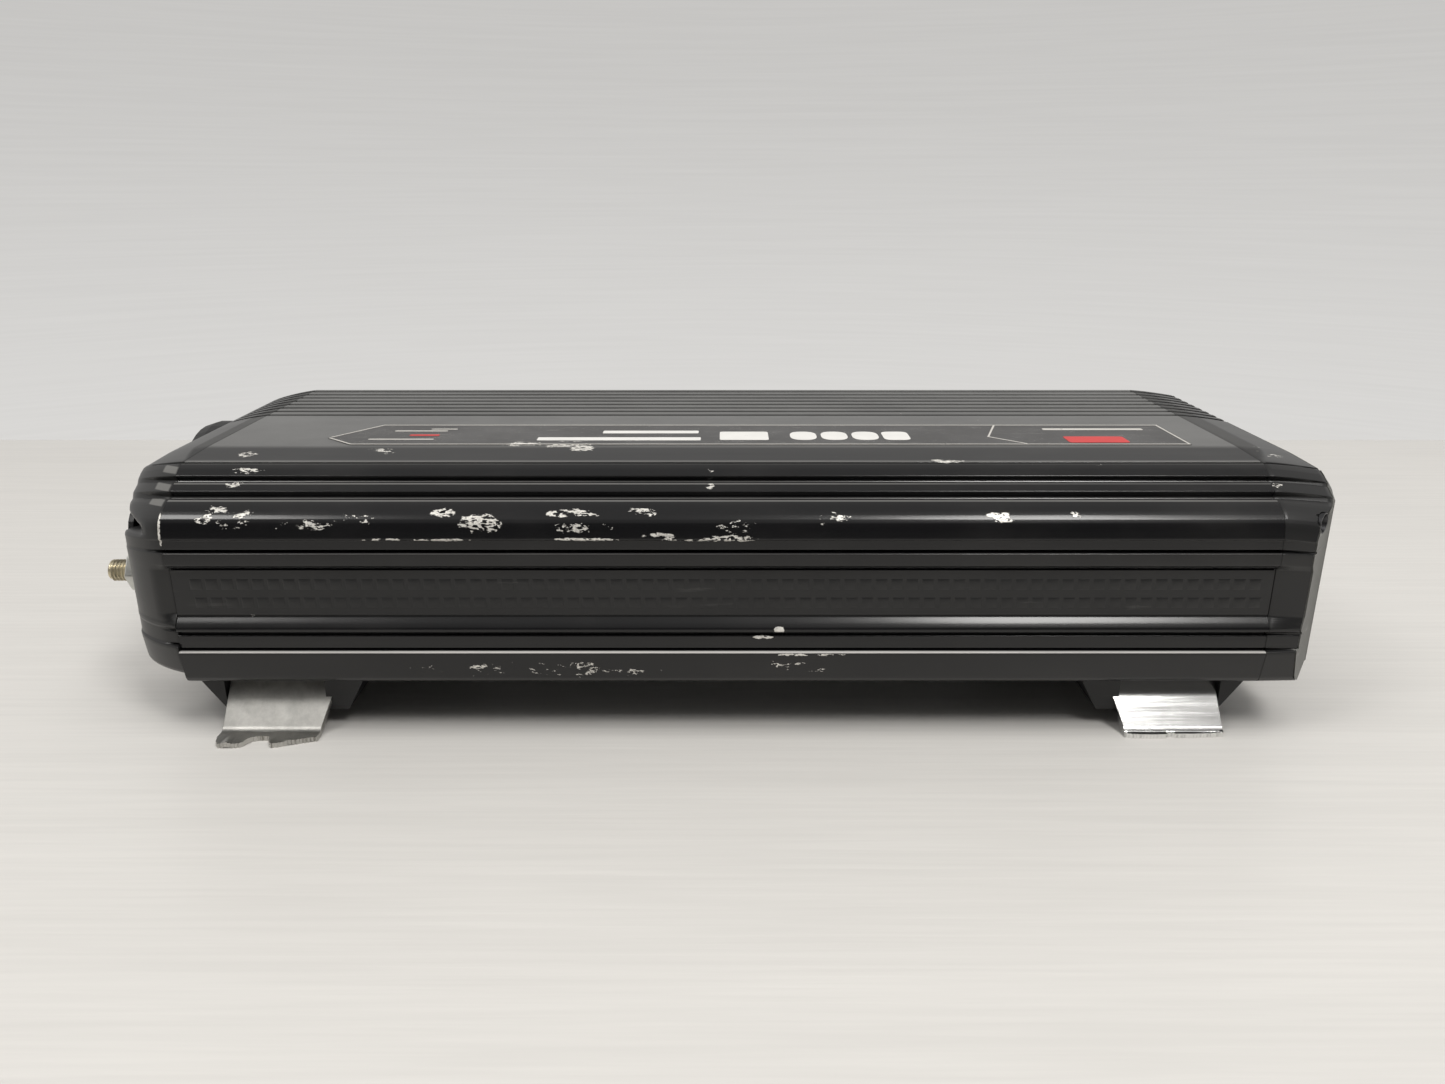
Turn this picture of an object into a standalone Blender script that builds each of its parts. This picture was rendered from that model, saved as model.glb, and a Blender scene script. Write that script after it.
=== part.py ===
# Portable DC-to-AC power inverter: finned aluminium body, two end caps, four sheet-metal feet.
# Metres, +Z up, X along the body: DC terminals at -X, AC outlets at +X, the label's near edge at -Y.
import math

import bmesh
import bpy
from mathutils import Matrix, Vector

for old in list(bpy.data.objects):
    bpy.data.objects.remove(old, do_unlink=True)

mm = 0.001

# Driving dimensions
body_half = 184.0 * mm          # half length of the extruded body
frame_shift = 6.35 * mm         # puts the middle of the whole length at X = 0
body_top = 93.5 * mm
body_base = 19.8 * mm
cap_gap = 0.3 * mm              # left between pieces that touch
wall = 2.6 * mm
fin_pitch = 7.2 * mm            # grooves in the far half of the top
fin_count = 7
fin_first = 12.5 * mm
fin_depth = 2.2 * mm
dc_cap_end = 202.4 * mm
ac_face_plane = 206.0 * mm
stud_tip = 220.5 * mm
stud_radius = 4.0 * mm          # M8
stud_height = 50.5 * mm
negative_stud_y = -53.0 * mm
positive_stud_y = -21.0 * mm
fan_y = 26.0 * mm
fan_z = 55.5 * mm
fan_size = 56.0 * mm
hood_radius = 32.0 * mm
foot_width = 34.5 * mm
foot_sheet = 1.8 * mm
foot_x = 157.25 * mm            # middle of each foot, from the middle of the body
foot_reach = 92.5            # in millimetres, like the foot's section below
slot_width = 7.0 * mm
outlet_ys = (-52.0 * mm, -17.0 * mm, 18.0 * mm)
outlet_z = 48.0 * mm
control_y = 50.0 * mm
rocker_tilt = math.radians(8.0)


def material(name, colour, roughness, metallic=0.0):
    made = bpy.data.materials.new(name)
    made.use_nodes = True
    shader = made.node_tree.nodes["Principled BSDF"]
    shader.inputs["Base Color"].default_value = (*colour, 1.0)
    shader.inputs["Roughness"].default_value = roughness
    shader.inputs["Metallic"].default_value = metallic
    return made


def add(name, mesh, look, smooth=30.0):
    piece = bpy.data.objects.new(name, mesh)
    bpy.context.scene.collection.objects.link(piece)
    mesh.materials.append(look)
    if smooth:
        mesh.shade_smooth()
        mesh.set_sharp_from_angle(angle=math.radians(smooth))
    piece.location.x = frame_shift
    return piece


def close_mesh(name, verts, faces):
    mesh = bpy.data.meshes.new(name)
    mesh.from_pydata([tuple(v) for v in verts], [], faces)
    tool = bmesh.new()
    tool.from_mesh(mesh)
    bmesh.ops.recalc_face_normals(tool, faces=tool.faces)
    tool.to_mesh(mesh)
    tool.free()
    return mesh


def loft(name, rings, look, loop=False, smooth=30.0):
    """Joins rings with equal point counts; the last joins the first, or both ends are filled."""
    count = len(rings[0])
    verts = [point for ring in rings for point in ring]
    faces = []
    for r in range(len(rings) if loop else len(rings) - 1):
        a, b = r * count, (r + 1) % len(rings) * count
        for i in range(count):
            j = (i + 1) % count
            faces.append((a + i, a + j, b + j, b + i))
    if not loop:
        faces.append(tuple(range(count)))
        faces.append(tuple(range((len(rings) - 1) * count, len(rings) * count)))
    return add(name, close_mesh(name, verts, faces), look, smooth)


def prism_x(name, outline, x0, x1, look, smooth=30.0):
    return loft(name, [[(x, y, z) for y, z in outline] for x in (x0, x1)], look, smooth=smooth)


def prism_y(name, outline, y0, y1, look, smooth=30.0):
    return loft(name, [[(x, y, z) for x, z in outline] for y in (y0, y1)], look, smooth=smooth)


def prism_z(name, outline, z0, z1, look, smooth=30.0):
    return loft(name, [[(x, y, z) for x, y in outline] for z in (z0, z1)], look, smooth=smooth)


def rectangle(c0, c1, w, h, corner=0.0, steps=4):
    if not corner:
        return [(c0 - w / 2, c1 - h / 2), (c0 + w / 2, c1 - h / 2),
                (c0 + w / 2, c1 + h / 2), (c0 - w / 2, c1 + h / 2)]
    points = []
    for k, (sx, sy) in enumerate(((1, 1), (-1, 1), (-1, -1), (1, -1))):
        for s in range(steps + 1):
            angle = math.pi / 2 * (k + s / steps)
            points.append((c0 + sx * (w / 2 - corner) + corner * math.cos(angle),
                           c1 + sy * (h / 2 - corner) + corner * math.sin(angle)))
    return points


def circle(c0, c1, radius, steps=24, turn=0.0):
    return [(c0 + radius * math.cos(2 * math.pi * s / steps + turn),
             c1 + radius * math.sin(2 * math.pi * s / steps + turn)) for s in range(steps)]


def box(name, low, high, look):
    return prism_z(name, [(low[0], low[1]), (high[0], low[1]), (high[0], high[1]), (low[0], high[1])],
                   low[2], high[2], look, smooth=0.0)


def turned_x(name, profile, y, z, look, steps=24, smooth=30.0):
    """A solid turned about a line along X: profile is (x, radius) from end to end, closed on the line."""
    rings = [[(x, y + r * math.cos(2 * math.pi * s / steps), z + r * math.sin(2 * math.pi * s / steps))
              for s in range(steps)] for x, r in profile]
    return loft(name, rings, look, smooth=smooth)


def boolean(piece, tool, kind):
    change = piece.modifiers.new("boolean", "BOOLEAN")
    change.operation = kind
    change.solver = "EXACT"
    change.object = tool
    tool.hide_render = True
    tool.display_type = "WIRE"


def cut(piece, *tools):
    for tool in tools:
        boolean(piece, tool, "DIFFERENCE")


def unite(piece, *tools):
    for tool in tools:
        boolean(piece, tool, "UNION")


black_coat = material("black_coat", (0.018, 0.018, 0.020), 0.38, 0.3)
dark_plastic = material("dark_plastic", (0.022, 0.022, 0.024), 0.5)
grey_plastic = material("grey_plastic", (0.24, 0.24, 0.235), 0.5)
label_film = material("label_film", (0.03, 0.03, 0.032), 0.3)
bare_steel = material("bare_steel", (0.55, 0.55, 0.54), 0.3, 1.0)
zinc_brass = material("zinc_brass", (0.62, 0.50, 0.27), 0.35, 1.0)
dark_steel = material("dark_steel", (0.09, 0.09, 0.095), 0.4, 1.0)
red_plastic = material("red_plastic", (0.45, 0.02, 0.02), 0.4)
pale_plastic = material("pale_plastic", (0.70, 0.70, 0.67), 0.45)
window_clear = material("window_clear", (0.02, 0.03, 0.05), 0.1)
board_green = material("board_green", (0.02, 0.16, 0.06), 0.5)
copper = material("copper", (0.80, 0.42, 0.25), 0.3, 1.0)
ferrite = material("ferrite", (0.06, 0.06, 0.065), 0.6)
coil_tape = material("coil_tape", (0.62, 0.42, 0.06), 0.5)
sink_metal = material("sink_metal", (0.70, 0.71, 0.72), 0.4, 1.0)
can_sleeve = material("can_sleeve", (0.02, 0.03, 0.09), 0.4)

# Body section. Each entry is (y, z, dy, dz) in millimetres: a point on the ungrooved surface and
# how far the groove sinks there. The list runs down the near side; the far side mirrors it.
side_section = [
    (-62.2, 93.5, 0, 0), (-62.5, 93.5, 0.0, -2.3), (-63.5, 93.2, 0.3, -2.2), (-63.8, 92.9, 0, 0),
    (-67.0, 89.3, 0, 0), (-67.3, 88.9, 1.4, -1.3), (-68.0, 87.9, 1.4, -1.1), (-68.2, 87.6, 0, 0),
    (-72.2, 85.3, 0, 0), (-72.5, 84.9, 1.1, -1.6), (-73.3, 83.7, 1.2, -1.4), (-73.6, 83.3, 0, 0),
    (-76.0, 82.8, 0, 0), (-78.6, 81.6, 0, 0), (-81.0, 79.9, 0, 0), (-82.8, 77.6, 0, 0),
    (-83.7, 75.0, 0, 0), (-84.1, 72.2, 0, 0), (-84.1, 71.9, 0.4, 0), (-84.1, 68.8, 0.4, 0),
    (-84.1, 68.6, 2.4, 0), (-84.3, 67.9, 2.6, 0), (-84.5, 67.6, 0, 0), (-84.4, 63.4, 0, 0),
    (-84.3, 61.2, 2.7, 0), (-84.3, 45.9, 2.7, 0), (-84.2, 45.0, 0.7, 0), (-84.3, 43.6, 0, 0),
    (-84.5, 42.0, 0, 0), (-84.4, 40.6, 0.1, 0), (-84.3, 39.4, 0.8, 0), (-84.2, 38.6, 1.8, 0),
    (-84.2, 38.1, 1.8, 0), (-84.2, 37.5, 0.8, 0), (-84.2, 33.3, 0.8, 0), (-84.3, 33.1, 2.4, 0),
    (-84.7, 32.8, 2.6, 0), (-85.0, 32.4, 0, 0), (-85.0, 31.4, 0, 0), (-83.2, 22.2, 0, 0),
    (-82.4, 20.8, 0, 0), (-80.8, 19.8, 0, 0),
]
section = [(y * mm, z * mm, dy * mm, dz * mm) for y, z, dy, dz in side_section]
section += [(-y, z, -dy, dz) for y, z, dy, dz in reversed(section)]
top_run = []
for fin in reversed(range(fin_count)):
    middle = fin_first + fin * fin_pitch
    for offset, depth in ((1.5, 0), (1.3, fin_depth), (-1.3, fin_depth), (-1.5, 0)):
        top_run.append((middle + offset * mm, body_top, 0.0, -depth))
section += top_run
side_count = len(side_section)
section_middle = (body_top + body_base) / 2


def ring(x, groove=1.0, side_in=0.0, top_in=0.0, base_in=0.0):
    """Body outline at x: groove scales the grooves, the rest pull its sides, top and base inward."""
    half_width, half_height = 85.0 * mm, (body_top - body_base) / 2
    points = []
    for y, z, dy, dz in section:
        y, z = y + dy * groove, z + dz * groove
        pull = top_in if z > section_middle else base_in
        points.append((x, y * (1 - side_in / half_width),
                       z - (z - section_middle) / half_height * pull))
    return points


# Extruded body: an inverted channel whose feet turn inward under the bottom plate
outer = [(y + dy, z + dz) for y, z, dy, dz in section]
near, far, top = outer[:side_count], outer[side_count:2 * side_count], outer[2 * side_count:]
inside = [(66.0, 19.8), (66.0, 22.3), (78.9, 22.3), (78.9, 75.5), (70.0, 81.0), (58.5, 90.0),
          (-58.5, 90.0), (-70.0, 81.0), (-78.9, 75.5), (-78.9, 22.3), (-66.0, 22.3), (-66.0, 19.8)]
housing_outline = far + top + near
housing_outline += [(y * mm, z * mm) for y, z in inside[::-1]]
prism_x("housing", housing_outline, -body_half, body_half, black_coat)
box("bottom_plate", (-183.5 * mm, -78.5 * mm, 22.6 * mm), (183.5 * mm, 78.5 * mm, 24.1 * mm), black_coat)
box("label_plate", (-176.0 * mm, -40.5 * mm, 93.6 * mm), (172.0 * mm, 9.5 * mm, 93.8 * mm), label_film)
for side, label in ((-1, "near"), (1, "far")):
    ys = sorted((side * 81.85 * mm, side * 82.75 * mm))
    box(f"side_grille_{label}", (-180.0 * mm, ys[0], 47.0 * mm), (180.0 * mm, ys[1], 59.6 * mm),
        dark_plastic)

# DC end cap: a tapering ring that carries the body's grooves on and lets them fade
start = -body_half - cap_gap
loft("dc_end_cap", [
    ring(start, 1.0, 0.3 * mm, 0.2 * mm, 2.4 * mm),
    ring(start - 5.5 * mm, 0.75, 1.6 * mm, 0.9 * mm, 3.2 * mm),
    ring(start - 11.0 * mm, 0.25, 5.0 * mm, 2.1 * mm, 4.0 * mm),
    ring(-dc_cap_end, 0.0, 12.0 * mm, 4.2 * mm, 4.7 * mm),
    ring(-dc_cap_end, 0.0, 14.2 * mm, 6.4 * mm, 6.9 * mm),
    ring(start - 11.0 * mm, 0.0, 9.2 * mm, 6.0 * mm, 6.6 * mm),
    ring(start, 0.0, 7.2 * mm, 5.6 * mm, 6.4 * mm),
], dark_plastic, loop=True)
panel_outline = [(y, z) for _, y, z in ring(0.0, 0.0, 14.6 * mm, 6.8 * mm, 7.3 * mm)]
dc_panel = prism_x("dc_end_panel", panel_outline, -202.4 * mm, -200.6 * mm, dark_steel)
for y in (negative_stud_y, positive_stud_y):
    cut(dc_panel, prism_x("cutter_stud", circle(y, stud_height, 6.0 * mm),
                          -205.0 * mm, -195.0 * mm, dark_steel))
cut(dc_panel, prism_x("cutter_fan", circle(fan_y, fan_z, 25.5 * mm, 40), -205.0 * mm, -195.0 * mm,
                      dark_steel))

# Terminals: flanged collar, stud, washer and nut for each pole, and the earth screw
for pole, y, look in (("negative", negative_stud_y, dark_plastic), ("positive", positive_stud_y, red_plastic)):
    collar = turned_x(f"{pole}_collar", [
        (-199.0 * mm, 5.6 * mm), (-202.7 * mm, 5.6 * mm), (-202.7 * mm, 11.0 * mm),
        (-204.7 * mm, 11.0 * mm), (-205.4 * mm, 10.0 * mm)], y, stud_height, look)
    cut(collar, prism_x(f"cutter_{pole}", circle(y, stud_height, stud_radius + cap_gap),
                        -210.0 * mm, -190.0 * mm, look))
    turned_x(f"{pole}_stud", [
        (-186.0 * mm, 7.0 * mm), (-190.0 * mm, 7.0 * mm), (-190.0 * mm, stud_radius),
        (-stud_tip + 1.0 * mm, stud_radius), (-stud_tip, stud_radius - 1.0 * mm)],
        y, stud_height, zinc_brass)
    washer = turned_x(f"{pole}_washer", [(-205.7 * mm, 8.0 * mm), (-206.9 * mm, 8.0 * mm)],
                      y, stud_height, bare_steel)
    nut = prism_x(f"{pole}_nut", circle(y, stud_height, 7.5 * mm, 6), -207.2 * mm, -212.4 * mm,
                  bare_steel, smooth=0.0)
    for piece in (washer, nut):
        cut(piece, prism_x(f"cutter_{piece.name}", circle(y, stud_height, stud_radius + cap_gap),
                           -220.0 * mm, -200.0 * mm, bare_steel))
turned_x("earth_screw", [
    (-196.0 * mm, 2.4 * mm), (-202.7 * mm, 2.4 * mm), (-202.7 * mm, 4.5 * mm), (-204.4 * mm, 4.5 * mm),
    (-205.6 * mm, 3.2 * mm)], -37.0 * mm, 32.0 * mm, bare_steel, steps=24)
cut(dc_panel, prism_x("cutter_earth", circle(-37.0 * mm, 32.0 * mm, 2.8 * mm), -205.0 * mm,
                      -195.0 * mm, dark_steel))

# Fan: square frame with a hub held on four struts, rotor on the hub's pin, domed hood outside
fan_frame = prism_x("fan_frame", rectangle(fan_y, fan_z, fan_size, fan_size, 3.0 * mm),
                    -200.3 * mm, -180.2 * mm, dark_plastic)
cut(fan_frame, prism_x("cutter_duct", circle(fan_y, fan_z, 26.0 * mm, 40), -205.0 * mm, -170.0 * mm,
                       dark_plastic))
for turn in (0, 1):
    half = (27.0 * mm, 2.0 * mm) if turn else (2.0 * mm, 27.0 * mm)
    unite(fan_frame, prism_x("strut", rectangle(fan_y, fan_z, 2 * half[0], 2 * half[1]),
                             -182.6 * mm, -180.4 * mm, dark_plastic))
unite(fan_frame,
      prism_x("hub_disc", circle(fan_y, fan_z, 12.0 * mm), -183.4 * mm, -180.3 * mm, dark_plastic),
      prism_x("hub_pin", circle(fan_y, fan_z, 1.5 * mm), -196.0 * mm, -181.5 * mm, dark_plastic))
blade_count = 7
rotor_rings = []
for step in range(6):
    x = -198.4 * mm + step / 5 * 14.6 * mm
    points = []
    for blade in range(blade_count):
        middle = 2 * math.pi * blade / blade_count + step * math.radians(7.0)
        for offset, radius in ((-0.36, 12.0), (-0.20, 12.0), (-0.055, 12.6), (-0.036, 24.8),
                               (0.036, 24.8), (0.055, 12.6), (0.20, 12.0), (0.36, 12.0)):
            points.append((x, radius * mm * math.cos(middle + offset),
                           radius * mm * math.sin(middle + offset)))
    rotor_rings.append(points)
rotor = loft("fan_rotor", [[(x + 190.0 * mm, y, z) for x, y, z in points] for points in rotor_rings],
             dark_plastic)
rotor.location = (frame_shift - 190.0 * mm, fan_y, fan_z)
cut(rotor, prism_x("cutter_bore", circle(fan_y, fan_z, 1.56 * mm), -205.0 * mm, -175.0 * mm,
                   dark_plastic))
hood = loft("fan_hood", [
    [(x, fan_y + r * mm * math.cos(2 * math.pi * s / 40), fan_z + r * mm * math.sin(2 * math.pi * s / 40))
     for s in range(40)]
    for x, r in ((-202.7 * mm, 32.0), (-212.0 * mm, 32.0), (-216.8 * mm, 30.4), (-219.0 * mm, 26.0),
                 (-219.6 * mm, 20.0), (-217.6 * mm, 20.0), (-217.1 * mm, 25.0), (-215.3 * mm, 28.6),
                 (-211.5 * mm, 30.0), (-202.7 * mm, 30.0))], dark_plastic, loop=True)
for turn in range(4):
    angle = math.pi / 4 * turn
    c, s = math.cos(angle), math.sin(angle)
    bar = [(fan_y + c * a - s * b, fan_z + s * a + c * b)
           for a, b in ((-21.5 * mm, -1.6 * mm), (21.5 * mm, -1.6 * mm), (21.5 * mm, 1.6 * mm),
                        (-21.5 * mm, 1.6 * mm))]
    unite(hood, prism_x("hood_bar", bar, (-219.4 - 0.01 * turn) * mm, (-217.7 - 0.01 * turn) * mm,
                        dark_plastic))
unite(hood, prism_x("hood_boss", circle(fan_y, fan_z, 7.0 * mm), -219.55 * mm, -217.4 * mm, dark_plastic))

# AC end: a dark ring that follows the body, then a pale grey face with a slanting rim
ac_start = body_half + cap_gap


def rim_x(y, z):
    """The dark ring reaches further along X over the top and shoulders than down the sides."""
    rise = min(max((z - 60.0 * mm) / (18.0 * mm), 0.0), 1.0)
    return 194.0 * mm + 8.4 * mm * rise * rise * (3 - 2 * rise)


def rim_ring(extra_x, extra_in):
    points = []
    for (_, y, z), (_, y2, z2) in zip(ring(0.0, 0.15, 0.8 * mm + extra_in, 2.2 * mm + extra_in, extra_in),
                                      ring(0.0, 0.0)):
        points.append((rim_x(y2, z2) + extra_x, y, z))
    return points


loft("ac_end_cap", [
    ring(ac_start, 1.0, 0.2 * mm, 0.2 * mm, 0.0), ring(ac_start + 4.0 * mm, 0.8, 0.4 * mm, 0.5 * mm, 0.0),
    rim_ring(0.0, 0.0), rim_ring(0.0, 2.2 * mm), ring(ac_start, 0.0, 7.0 * mm, 6.2 * mm, 4.4 * mm),
], dark_plastic, loop=True)
ac_face = loft("ac_face", [
    ring(203.6 * mm, 0.0, 15.5 * mm, 8.0 * mm, 6.0 * mm), rim_ring(cap_gap, 2.2 * mm),
    rim_ring(cap_gap, 0.1 * mm), ring(205.4 * mm, 0.0, 12.8 * mm, 4.0 * mm, 3.0 * mm),
    ring(ac_face_plane, 0.0, 13.6 * mm, 5.0 * mm, 3.6 * mm),
], grey_plastic)


def face_hole(y, z, w, h, corner=1.0 * mm):
    cut(ac_face, prism_x("cutter_window", rectangle(y, z, w, h, corner), 185.0 * mm, 215.0 * mm,
                         grey_plastic))


# Three earthed outlets, each a block with two blade slots and an earth hole
for number, y in enumerate(outlet_ys, 1):
    face_hole(y, outlet_z, 30.6 * mm, 34.6 * mm, 4.0 * mm)
    outlet = prism_x(f"outlet_{number}", rectangle(y, outlet_z, 30.0 * mm, 34.0 * mm, 3.8 * mm),
                     185.0 * mm, 206.8 * mm, dark_plastic)
    for offset, height in ((-6.35 * mm, 8.0 * mm), (6.35 * mm, 6.6 * mm)):
        cut(outlet, prism_x("cutter_blade", rectangle(y + offset, outlet_z + 4.0 * mm, 1.8 * mm, height),
                            190.0 * mm, 215.0 * mm, dark_plastic))
    cut(outlet, prism_x("cutter_pin", circle(y, outlet_z - 8.0 * mm, 2.5 * mm, 20), 190.0 * mm,
                        215.0 * mm, dark_plastic))

# Rocker switch: bezel with a window, rocker tilted to its off stop
rocker_z = 68.0 * mm
face_hole(control_y, rocker_z, 21.6 * mm, 15.6 * mm)
bezel = prism_x("rocker_bezel", rectangle(control_y, rocker_z, 21.0 * mm, 15.0 * mm, 0.8 * mm),
                190.0 * mm, 206.9 * mm, dark_plastic)
cut(bezel, prism_x("cutter_rocker", rectangle(control_y, rocker_z, 18.0 * mm, 12.0 * mm, 0.4 * mm),
                   193.0 * mm, 215.0 * mm, dark_plastic))
rocker_outline = [(-4.0, -7.6), (-4.0, 7.6), (3.6, 8.2), (5.0, 7.6), (3.9, 0.0), (5.0, -7.6), (3.6, -8.2)]
rocker = prism_z("power_rocker", [(x * mm, y * mm) for x, y in rocker_outline], -5.6 * mm, 5.6 * mm,
                 red_plastic)
rocker.location = (frame_shift + 201.5 * mm, control_y, rocker_z)
rocker.rotation_euler.z = rocker_tilt

# Display window above the outlets, its button, USB pair, breaker and remote jack
face_hole(-17.0 * mm, 76.0 * mm, 52.6 * mm, 11.6 * mm)
prism_x("display_window", rectangle(-17.0 * mm, 76.0 * mm, 52.0 * mm, 11.0 * mm, 0.8 * mm),
        202.0 * mm, 206.3 * mm, window_clear)
face_hole(19.0 * mm, 76.0 * mm, 8.8 * mm, 8.8 * mm, 4.3 * mm)
button = turned_x("display_button", [(-6.0 * mm, 5.6 * mm), (-4.8 * mm, 5.6 * mm), (-4.8 * mm, 4.0 * mm),
                                     (0.9 * mm, 4.0 * mm), (1.3 * mm, 3.4 * mm)], 0.0, 0.0, pale_plastic)
button.location = (frame_shift + 206.0 * mm, 19.0 * mm, 76.0 * mm)
face_hole(control_y, 50.0 * mm, 20.6 * mm, 15.6 * mm)
usb = prism_x("usb_port", rectangle(control_y, 50.0 * mm, 20.0 * mm, 15.0 * mm, 0.8 * mm), 190.0 * mm,
              206.4 * mm, dark_plastic)
for z in (46.4 * mm, 53.6 * mm):
    cut(usb, prism_x("cutter_usb", rectangle(control_y, z, 13.0 * mm, 5.0 * mm), 194.0 * mm, 215.0 * mm,
                     dark_plastic))
    unite(usb, prism_x("usb_tongue", rectangle(control_y, z + 1.2 * mm, 11.2 * mm, 1.9 * mm),
                       193.0 * mm, 205.0 * mm, pale_plastic))
face_hole(41.0 * mm, 35.5 * mm, 12.6 * mm, 12.6 * mm, 6.2 * mm)
breaker = turned_x("breaker_ring", [(188.0 * mm, 6.0 * mm), (206.3 * mm, 6.0 * mm), (206.3 * mm, 5.6 * mm),
                                    (207.0 * mm, 5.6 * mm)], 41.0 * mm, 35.5 * mm, dark_plastic)
cut(breaker, prism_x("cutter_breaker", circle(41.0 * mm, 35.5 * mm, 4.0 * mm), 192.0 * mm, 215.0 * mm,
                     dark_plastic))
reset = turned_x("breaker_button", [(-9.0 * mm, 3.5 * mm), (1.0 * mm, 3.5 * mm), (1.8 * mm, 2.8 * mm)],
                 0.0, 0.0, red_plastic, steps=24)
reset.location = (frame_shift + 206.0 * mm, 41.0 * mm, 35.5 * mm)
face_hole(57.0 * mm, 35.5 * mm, 10.6 * mm, 10.6 * mm)
jack = prism_x("remote_jack", rectangle(57.0 * mm, 35.5 * mm, 10.0 * mm, 10.0 * mm, 0.6 * mm), 190.0 * mm,
               206.3 * mm, dark_plastic)
cut(jack, prism_x("cutter_jack", rectangle(57.0 * mm, 35.5 * mm, 7.4 * mm, 3.6 * mm), 194.0 * mm,
                  215.0 * mm, dark_plastic))
for name, y, z in (("near_low", -64.5, 26.5), ("near_high", -64.5, 79.5), ("far_low", 64.5, 26.5),
                   ("far_high", 64.5, 79.5)):
    cut(ac_face, prism_x("cutter_screw", circle(y * mm, z * mm, 3.6 * mm, 24), 204.9 * mm, 215.0 * mm,
                         grey_plastic),
        prism_x("cutter_shank", circle(y * mm, z * mm, 1.8 * mm, 16), 190.0 * mm, 215.0 * mm,
                grey_plastic))
    turned_x(f"face_screw_{name}", [(197.0 * mm, 1.4 * mm), (205.2 * mm, 1.4 * mm), (205.2 * mm, 3.2 * mm),
                                    (206.3 * mm, 2.8 * mm)], y * mm, z * mm, dark_steel, steps=16)

# Under the body: a cross block at each end, notched for the sheet-metal feet
for end, end_name in ((-1, "dc"), (1, "ac")):
    profile = [(end * x * mm, z * mm) for x, z in ((125.0, 19.5), (184.0, 19.5), (175.0, 6.7), (132.0, 6.7))]
    block = prism_y(f"foot_block_{end_name}", profile, -76.0 * mm, 76.0 * mm, dark_plastic)
    for side, side_name in ((-1, "near"), (1, "far")):
        middle = end * foot_x
        notch = [(44.5, 25.0), (44.5, 17.3), (68.9, 17.3), (78.2, 5.0), (90.0, 5.0), (90.0, 25.0)]
        cut(block, prism_x("cutter_notch", [(side * y * mm, z * mm) for y, z in notch],
                           middle - foot_width / 2 - cap_gap, middle + foot_width / 2 + cap_gap,
                           dark_plastic))
        bend = [(45.0, 19.4), (69.95, 19.4), (83.25, 1.8), (foot_reach, 1.8), (foot_reach, 0.0),
                (82.35, 0.0), (69.05, 17.6), (45.0, 17.6)]
        foot = prism_x(f"foot_{end_name}_{side_name}", [(side * y * mm, z * mm) for y, z in bend],
                       middle - foot_width / 2, middle + foot_width / 2, bare_steel, smooth=0.0)
        outline = circle(middle, side * 89.8 * mm, slot_width / 2, 24)
        reach = side * 100.0 * mm
        mouth = [(middle - slot_width / 2, side * 89.8 * mm), (middle + slot_width / 2, side * 89.8 * mm),
                 (middle + slot_width / 2, reach), (middle - slot_width / 2, reach)]
        cut(foot, prism_z("cutter_round", outline, -3.0 * mm, 5.0 * mm, bare_steel),
            prism_z("cutter_mouth", mouth, -3.0 * mm, 5.0 * mm, bare_steel))

# Inside: board on four posts, bus bars, capacitors, transformers, side rails and output choke
box("main_board", (-168.0 * mm, -72.0 * mm, 32.0 * mm), (150.0 * mm, 72.0 * mm, 33.6 * mm), board_green)
for number, (x, y) in enumerate(((-155, -62), (-155, 62), (140, -62), (140, 62)), 1):
    prism_z(f"board_post_{number}", circle(x * mm, y * mm, 3.0 * mm, 16), 24.4 * mm, 31.7 * mm, zinc_brass)
for pole, y in (("negative", negative_stud_y), ("positive", positive_stud_y)):
    strap = [(-185.6, 56.0), (-185.6, 40.0), (-184.1, 40.0), (-184.1, 42.5), (-150.0, 42.5),
             (-150.0, 33.9), (-148.5, 33.9), (-148.5, 44.0), (-182.6, 44.0), (-182.6, 56.0)]
    prism_y(f"{pole}_strap", [(x * mm, z * mm) for x, z in strap], y - 7.0 * mm, y + 7.0 * mm, copper)
for number, y in enumerate((-44.0, 0.0, 44.0), 1):
    prism_z(f"input_capacitor_{number}", circle(-128.0 * mm, y * mm, 9.0 * mm, 24), 33.9 * mm, 68.0 * mm,
            can_sleeve)
for number, x in enumerate((-80.0, -20.0), 1):
    core = box(f"transformer_core_{number}", ((x - 21.0) * mm, -10.0 * mm, 34.5 * mm),
               ((x + 21.0) * mm, 10.0 * mm, 77.0 * mm), ferrite)
    for side in (-1, 1):
        window = rectangle((x + side * 11.0) * mm, 55.75 * mm, 9.0 * mm, 28.5 * mm)
        cut(core, prism_y("cutter_core", window, -20.0 * mm, 20.0 * mm, ferrite))
    coil = box(f"transformer_coil_{number}", ((x - 15.0) * mm, -19.0 * mm, 42.0 * mm),
               ((x + 15.0) * mm, 19.0 * mm, 69.5 * mm), coil_tape)
    cut(coil, prism_z("cutter_coil", rectangle(x * mm, 0.0, 13.6 * mm, 20.6 * mm), 30.0 * mm, 90.0 * mm,
                      coil_tape))
for side, side_name in ((-1, "near"), (1, "far")):
    rail = [(side * y * mm, z * mm) for y, z in ((70.0, 34.5), (70.0, 74.0), (66.5, 74.0), (66.5, 38.0),
                                                 (58.0, 38.0), (58.0, 34.5))]
    prism_x(f"heat_rail_{side_name}", rail, -110.0 * mm, 110.0 * mm, sink_metal)
choke = bpy.data.meshes.new("output_choke")
shape = bmesh.new()
big, small, turns, sides = 17.0 * mm, 8.0 * mm, 20, 8
loops = [[shape.verts.new(((big + small * math.cos(2 * math.pi * j / sides)) * math.cos(2 * math.pi * i / turns),
                           (big + small * math.cos(2 * math.pi * j / sides)) * math.sin(2 * math.pi * i / turns),
                           small * math.sin(2 * math.pi * j / sides))) for j in range(sides)]
         for i in range(turns)]
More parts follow.
